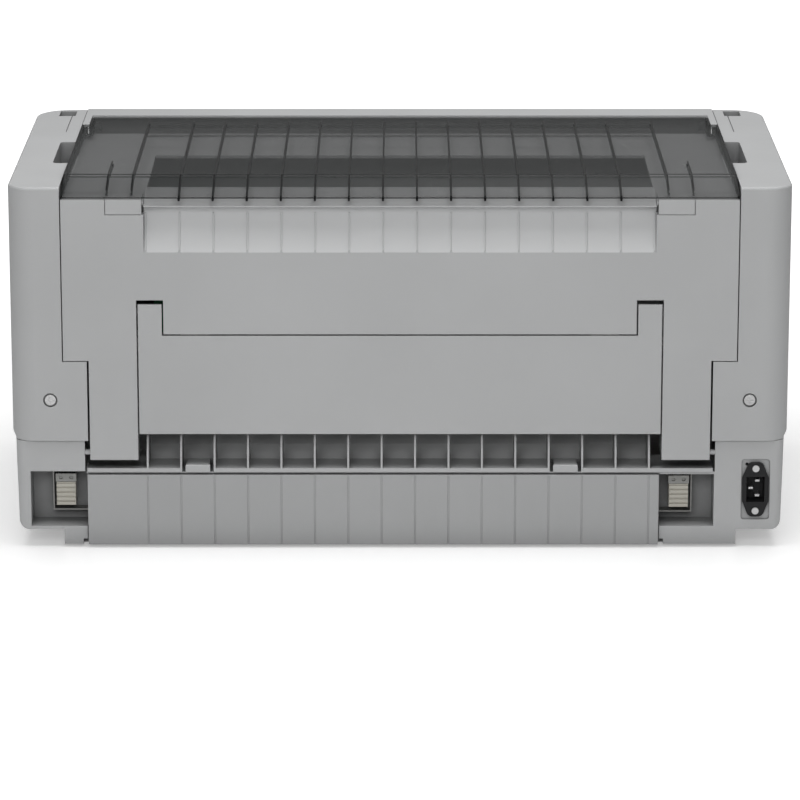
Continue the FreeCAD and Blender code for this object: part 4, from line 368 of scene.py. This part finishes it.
def circuit_board(name, colour):
    """Green solder mask with paler tracks."""
    material, tree, shader, place = principled(name, colour, BOARD_ROUGHNESS)
    tracks = tree.nodes.new("ShaderNodeTexBrick")
    tracks.inputs["Scale"].default_value = TRACK_SCALE
    tracks.inputs["Mortar Size"].default_value = TRACK_WIDTH
    tracks.inputs["Color1"].default_value = (*colour, 1)
    tracks.inputs["Color2"].default_value = (*scaled(colour, 0.8), 1)
    tracks.inputs["Mortar"].default_value = (*scaled(colour, TRACK_TONE), 1)
    tree.links.new(place, tracks.inputs["Vector"])
    tree.links.new(tracks.outputs["Color"], shader.inputs["Base Color"])
    bumped(tree, shader, tracks.outputs["Fac"], TRACK_DEPTH)
    return material


COVER_ORIGIN = frame["nodes"]["smoked_cover"].matrix_world.translation
REAR_COVER_ORIGIN = frame["nodes"]["rear_cover"].matrix_world.translation
CASING = (0.422, 0.427, 0.43)
MATERIALS = {
    # The casing's hollows take painted shade, down to the factor given.
    "casing": casing_plastic("casing_grey", CASING, hollow_shade_factor=0.3),
    "casing_dark": moulded_plastic("panel_grey", scaled(CASING, 0.87), hollow_shade_factor=0.4),
    "smoke": smoked_sheet("smoked_plastic", (0.038, 0.041, 0.041), 0.32, 0.3, COVER_ORIGIN),
    "black": moulded_plastic("black_plastic", (0.014, 0.014, 0.015), wear_and_highlight=1.8, shine=0.25),
    "latch": moulded_plastic("latch_beige", (0.52, 0.50, 0.44), 0.45, patch=0.02),
    "steel": brushed_metal("plated_steel", (0.6, 0.6, 0.6)),
    "zinc": brushed_metal("dull_zinc", (0.3, 0.3, 0.29), 0.5),
    "rubber": moulded_plastic("black_rubber", (0.025, 0.025, 0.025), 0.8, wear_and_highlight=1.3),
    "lens": moulded_plastic("display_lens", (0.03, 0.045, 0.04), 0.12, depth=0.003 * MM),
    "lamp": moulded_plastic("lamp_green", (0.12, 0.42, 0.16), 0.25, depth=0.005 * MM),
    "key": moulded_plastic("key_grey", (0.22, 0.225, 0.24), 0.45),
    "board": circuit_board("circuit_board", (0.03, 0.16, 0.07)),
    "brass": brushed_metal("brass", (0.62, 0.5, 0.24), 0.3),
    "nylon": moulded_plastic("white_nylon", (0.7, 0.69, 0.65), 0.4),
}
# These stay without the painted shade in hollows, which the cover or the paper guide's curve would bring to
# their open faces.
CLEAN = casing_plastic("cover_grey", CASING)
NODE_MATERIALS = {
    "top_deck": CLEAN,
    "front_cover": CLEAN,
    "rear_cover": painted_guide_light("rear_cover_grey", CASING, REAR_COVER_ORIGIN),
}


def dress_nodes():
    """Gives each CAD node its own material, or the one of its slot in the record."""
    slots = {entry["node"]: entry["material_slot"] for entry in frame["record"]["subparts"]}
    for name, thing in frame["nodes"].items():
        material = NODE_MATERIALS.get(name, MATERIALS[slots[name]])
        if not thing.data.materials:
            thing.data.materials.append(material)
        for slot in thing.material_slots:
            slot.link = "OBJECT"
            slot.material = material


def studio_floor():
    """A pale floor that shows white to the camera where nothing shades it."""
    bpy.ops.mesh.primitive_plane_add(size=FLOOR_SIZE, location=(0, 0, 0))
    floor = bpy.context.object
    floor.name = "studio_floor"
    material, tree, shader, place = principled("floor_white", FLOOR_COLOUR, FLOOR_ROUGHNESS)
    path = tree.nodes.new("ShaderNodeLightPath")
    reach = tree.nodes.new("ShaderNodeVectorMath")
    reach.operation = "LENGTH"
    tree.links.new(place, reach.inputs[0])
    glow = spread(tree, reach.outputs["Value"], *FLOOR_GLOW, *GLOW_REACH)
    seen = calculated(tree, "MULTIPLY", path.outputs["Is Camera Ray"], glow)
    shader.inputs["Emission Color"].default_value = WHITE
    tree.links.new(seen, shader.inputs["Emission Strength"])
    floor.data.materials.append(material)


def studio_world():
    """Soft light from all round, white where the camera or a clear pane sees it."""
    world = bpy.data.worlds.new("studio")
    bpy.context.scene.world = world
    world.use_nodes = True
    tree = world.node_tree
    background = tree.nodes["Background"]
    background.inputs["Color"].default_value = WHITE
    path = tree.nodes.new("ShaderNodeLightPath")
    seen = calculated(tree, "MAXIMUM", path.outputs["Is Camera Ray"], path.outputs["Is Transmission Ray"])
    tree.links.new(spread(tree, seen, AMBIENT, 1.0, 0.0, 1.0), background.inputs["Strength"])


def area_light(name, place, target, size, power):
    """A rectangular soft light that faces its target."""
    lamp = bpy.data.lights.new(name, "AREA")
    lamp.shape = "RECTANGLE"
    lamp.size, lamp.size_y = size
    lamp.energy = power
    thing = bpy.data.objects.new(name, lamp)
    bpy.context.collection.objects.link(thing)
    thing.location = place
    thing.rotation_euler = (Vector(target) - Vector(place)).to_track_quat("-Z", "Y").to_euler()


def photo_camera():
    """The photograph's camera, which looks from behind and a little down."""
    lens = bpy.data.cameras.new("photo_camera")
    lens.sensor_width = SENSOR_MM
    lens.lens = SENSOR_MM * FOCAL_PX / PHOTO_WIDTH_PX
    camera = bpy.data.objects.new("photo_camera", lens)
    bpy.context.collection.objects.link(camera)
    camera.location = (0, REAR_Y + CAMERA_DISTANCE, CAMERA_HEIGHT)
    camera.rotation_euler = (math.pi / 2 - CAMERA_PITCH, 0, math.pi)
    bpy.context.scene.camera = camera


dress_nodes()
studio_floor()
studio_world()
for softbox in SOFTBOXES:
    area_light(*softbox)
photo_camera()
bpy.context.scene.view_settings.view_transform = "Standard"
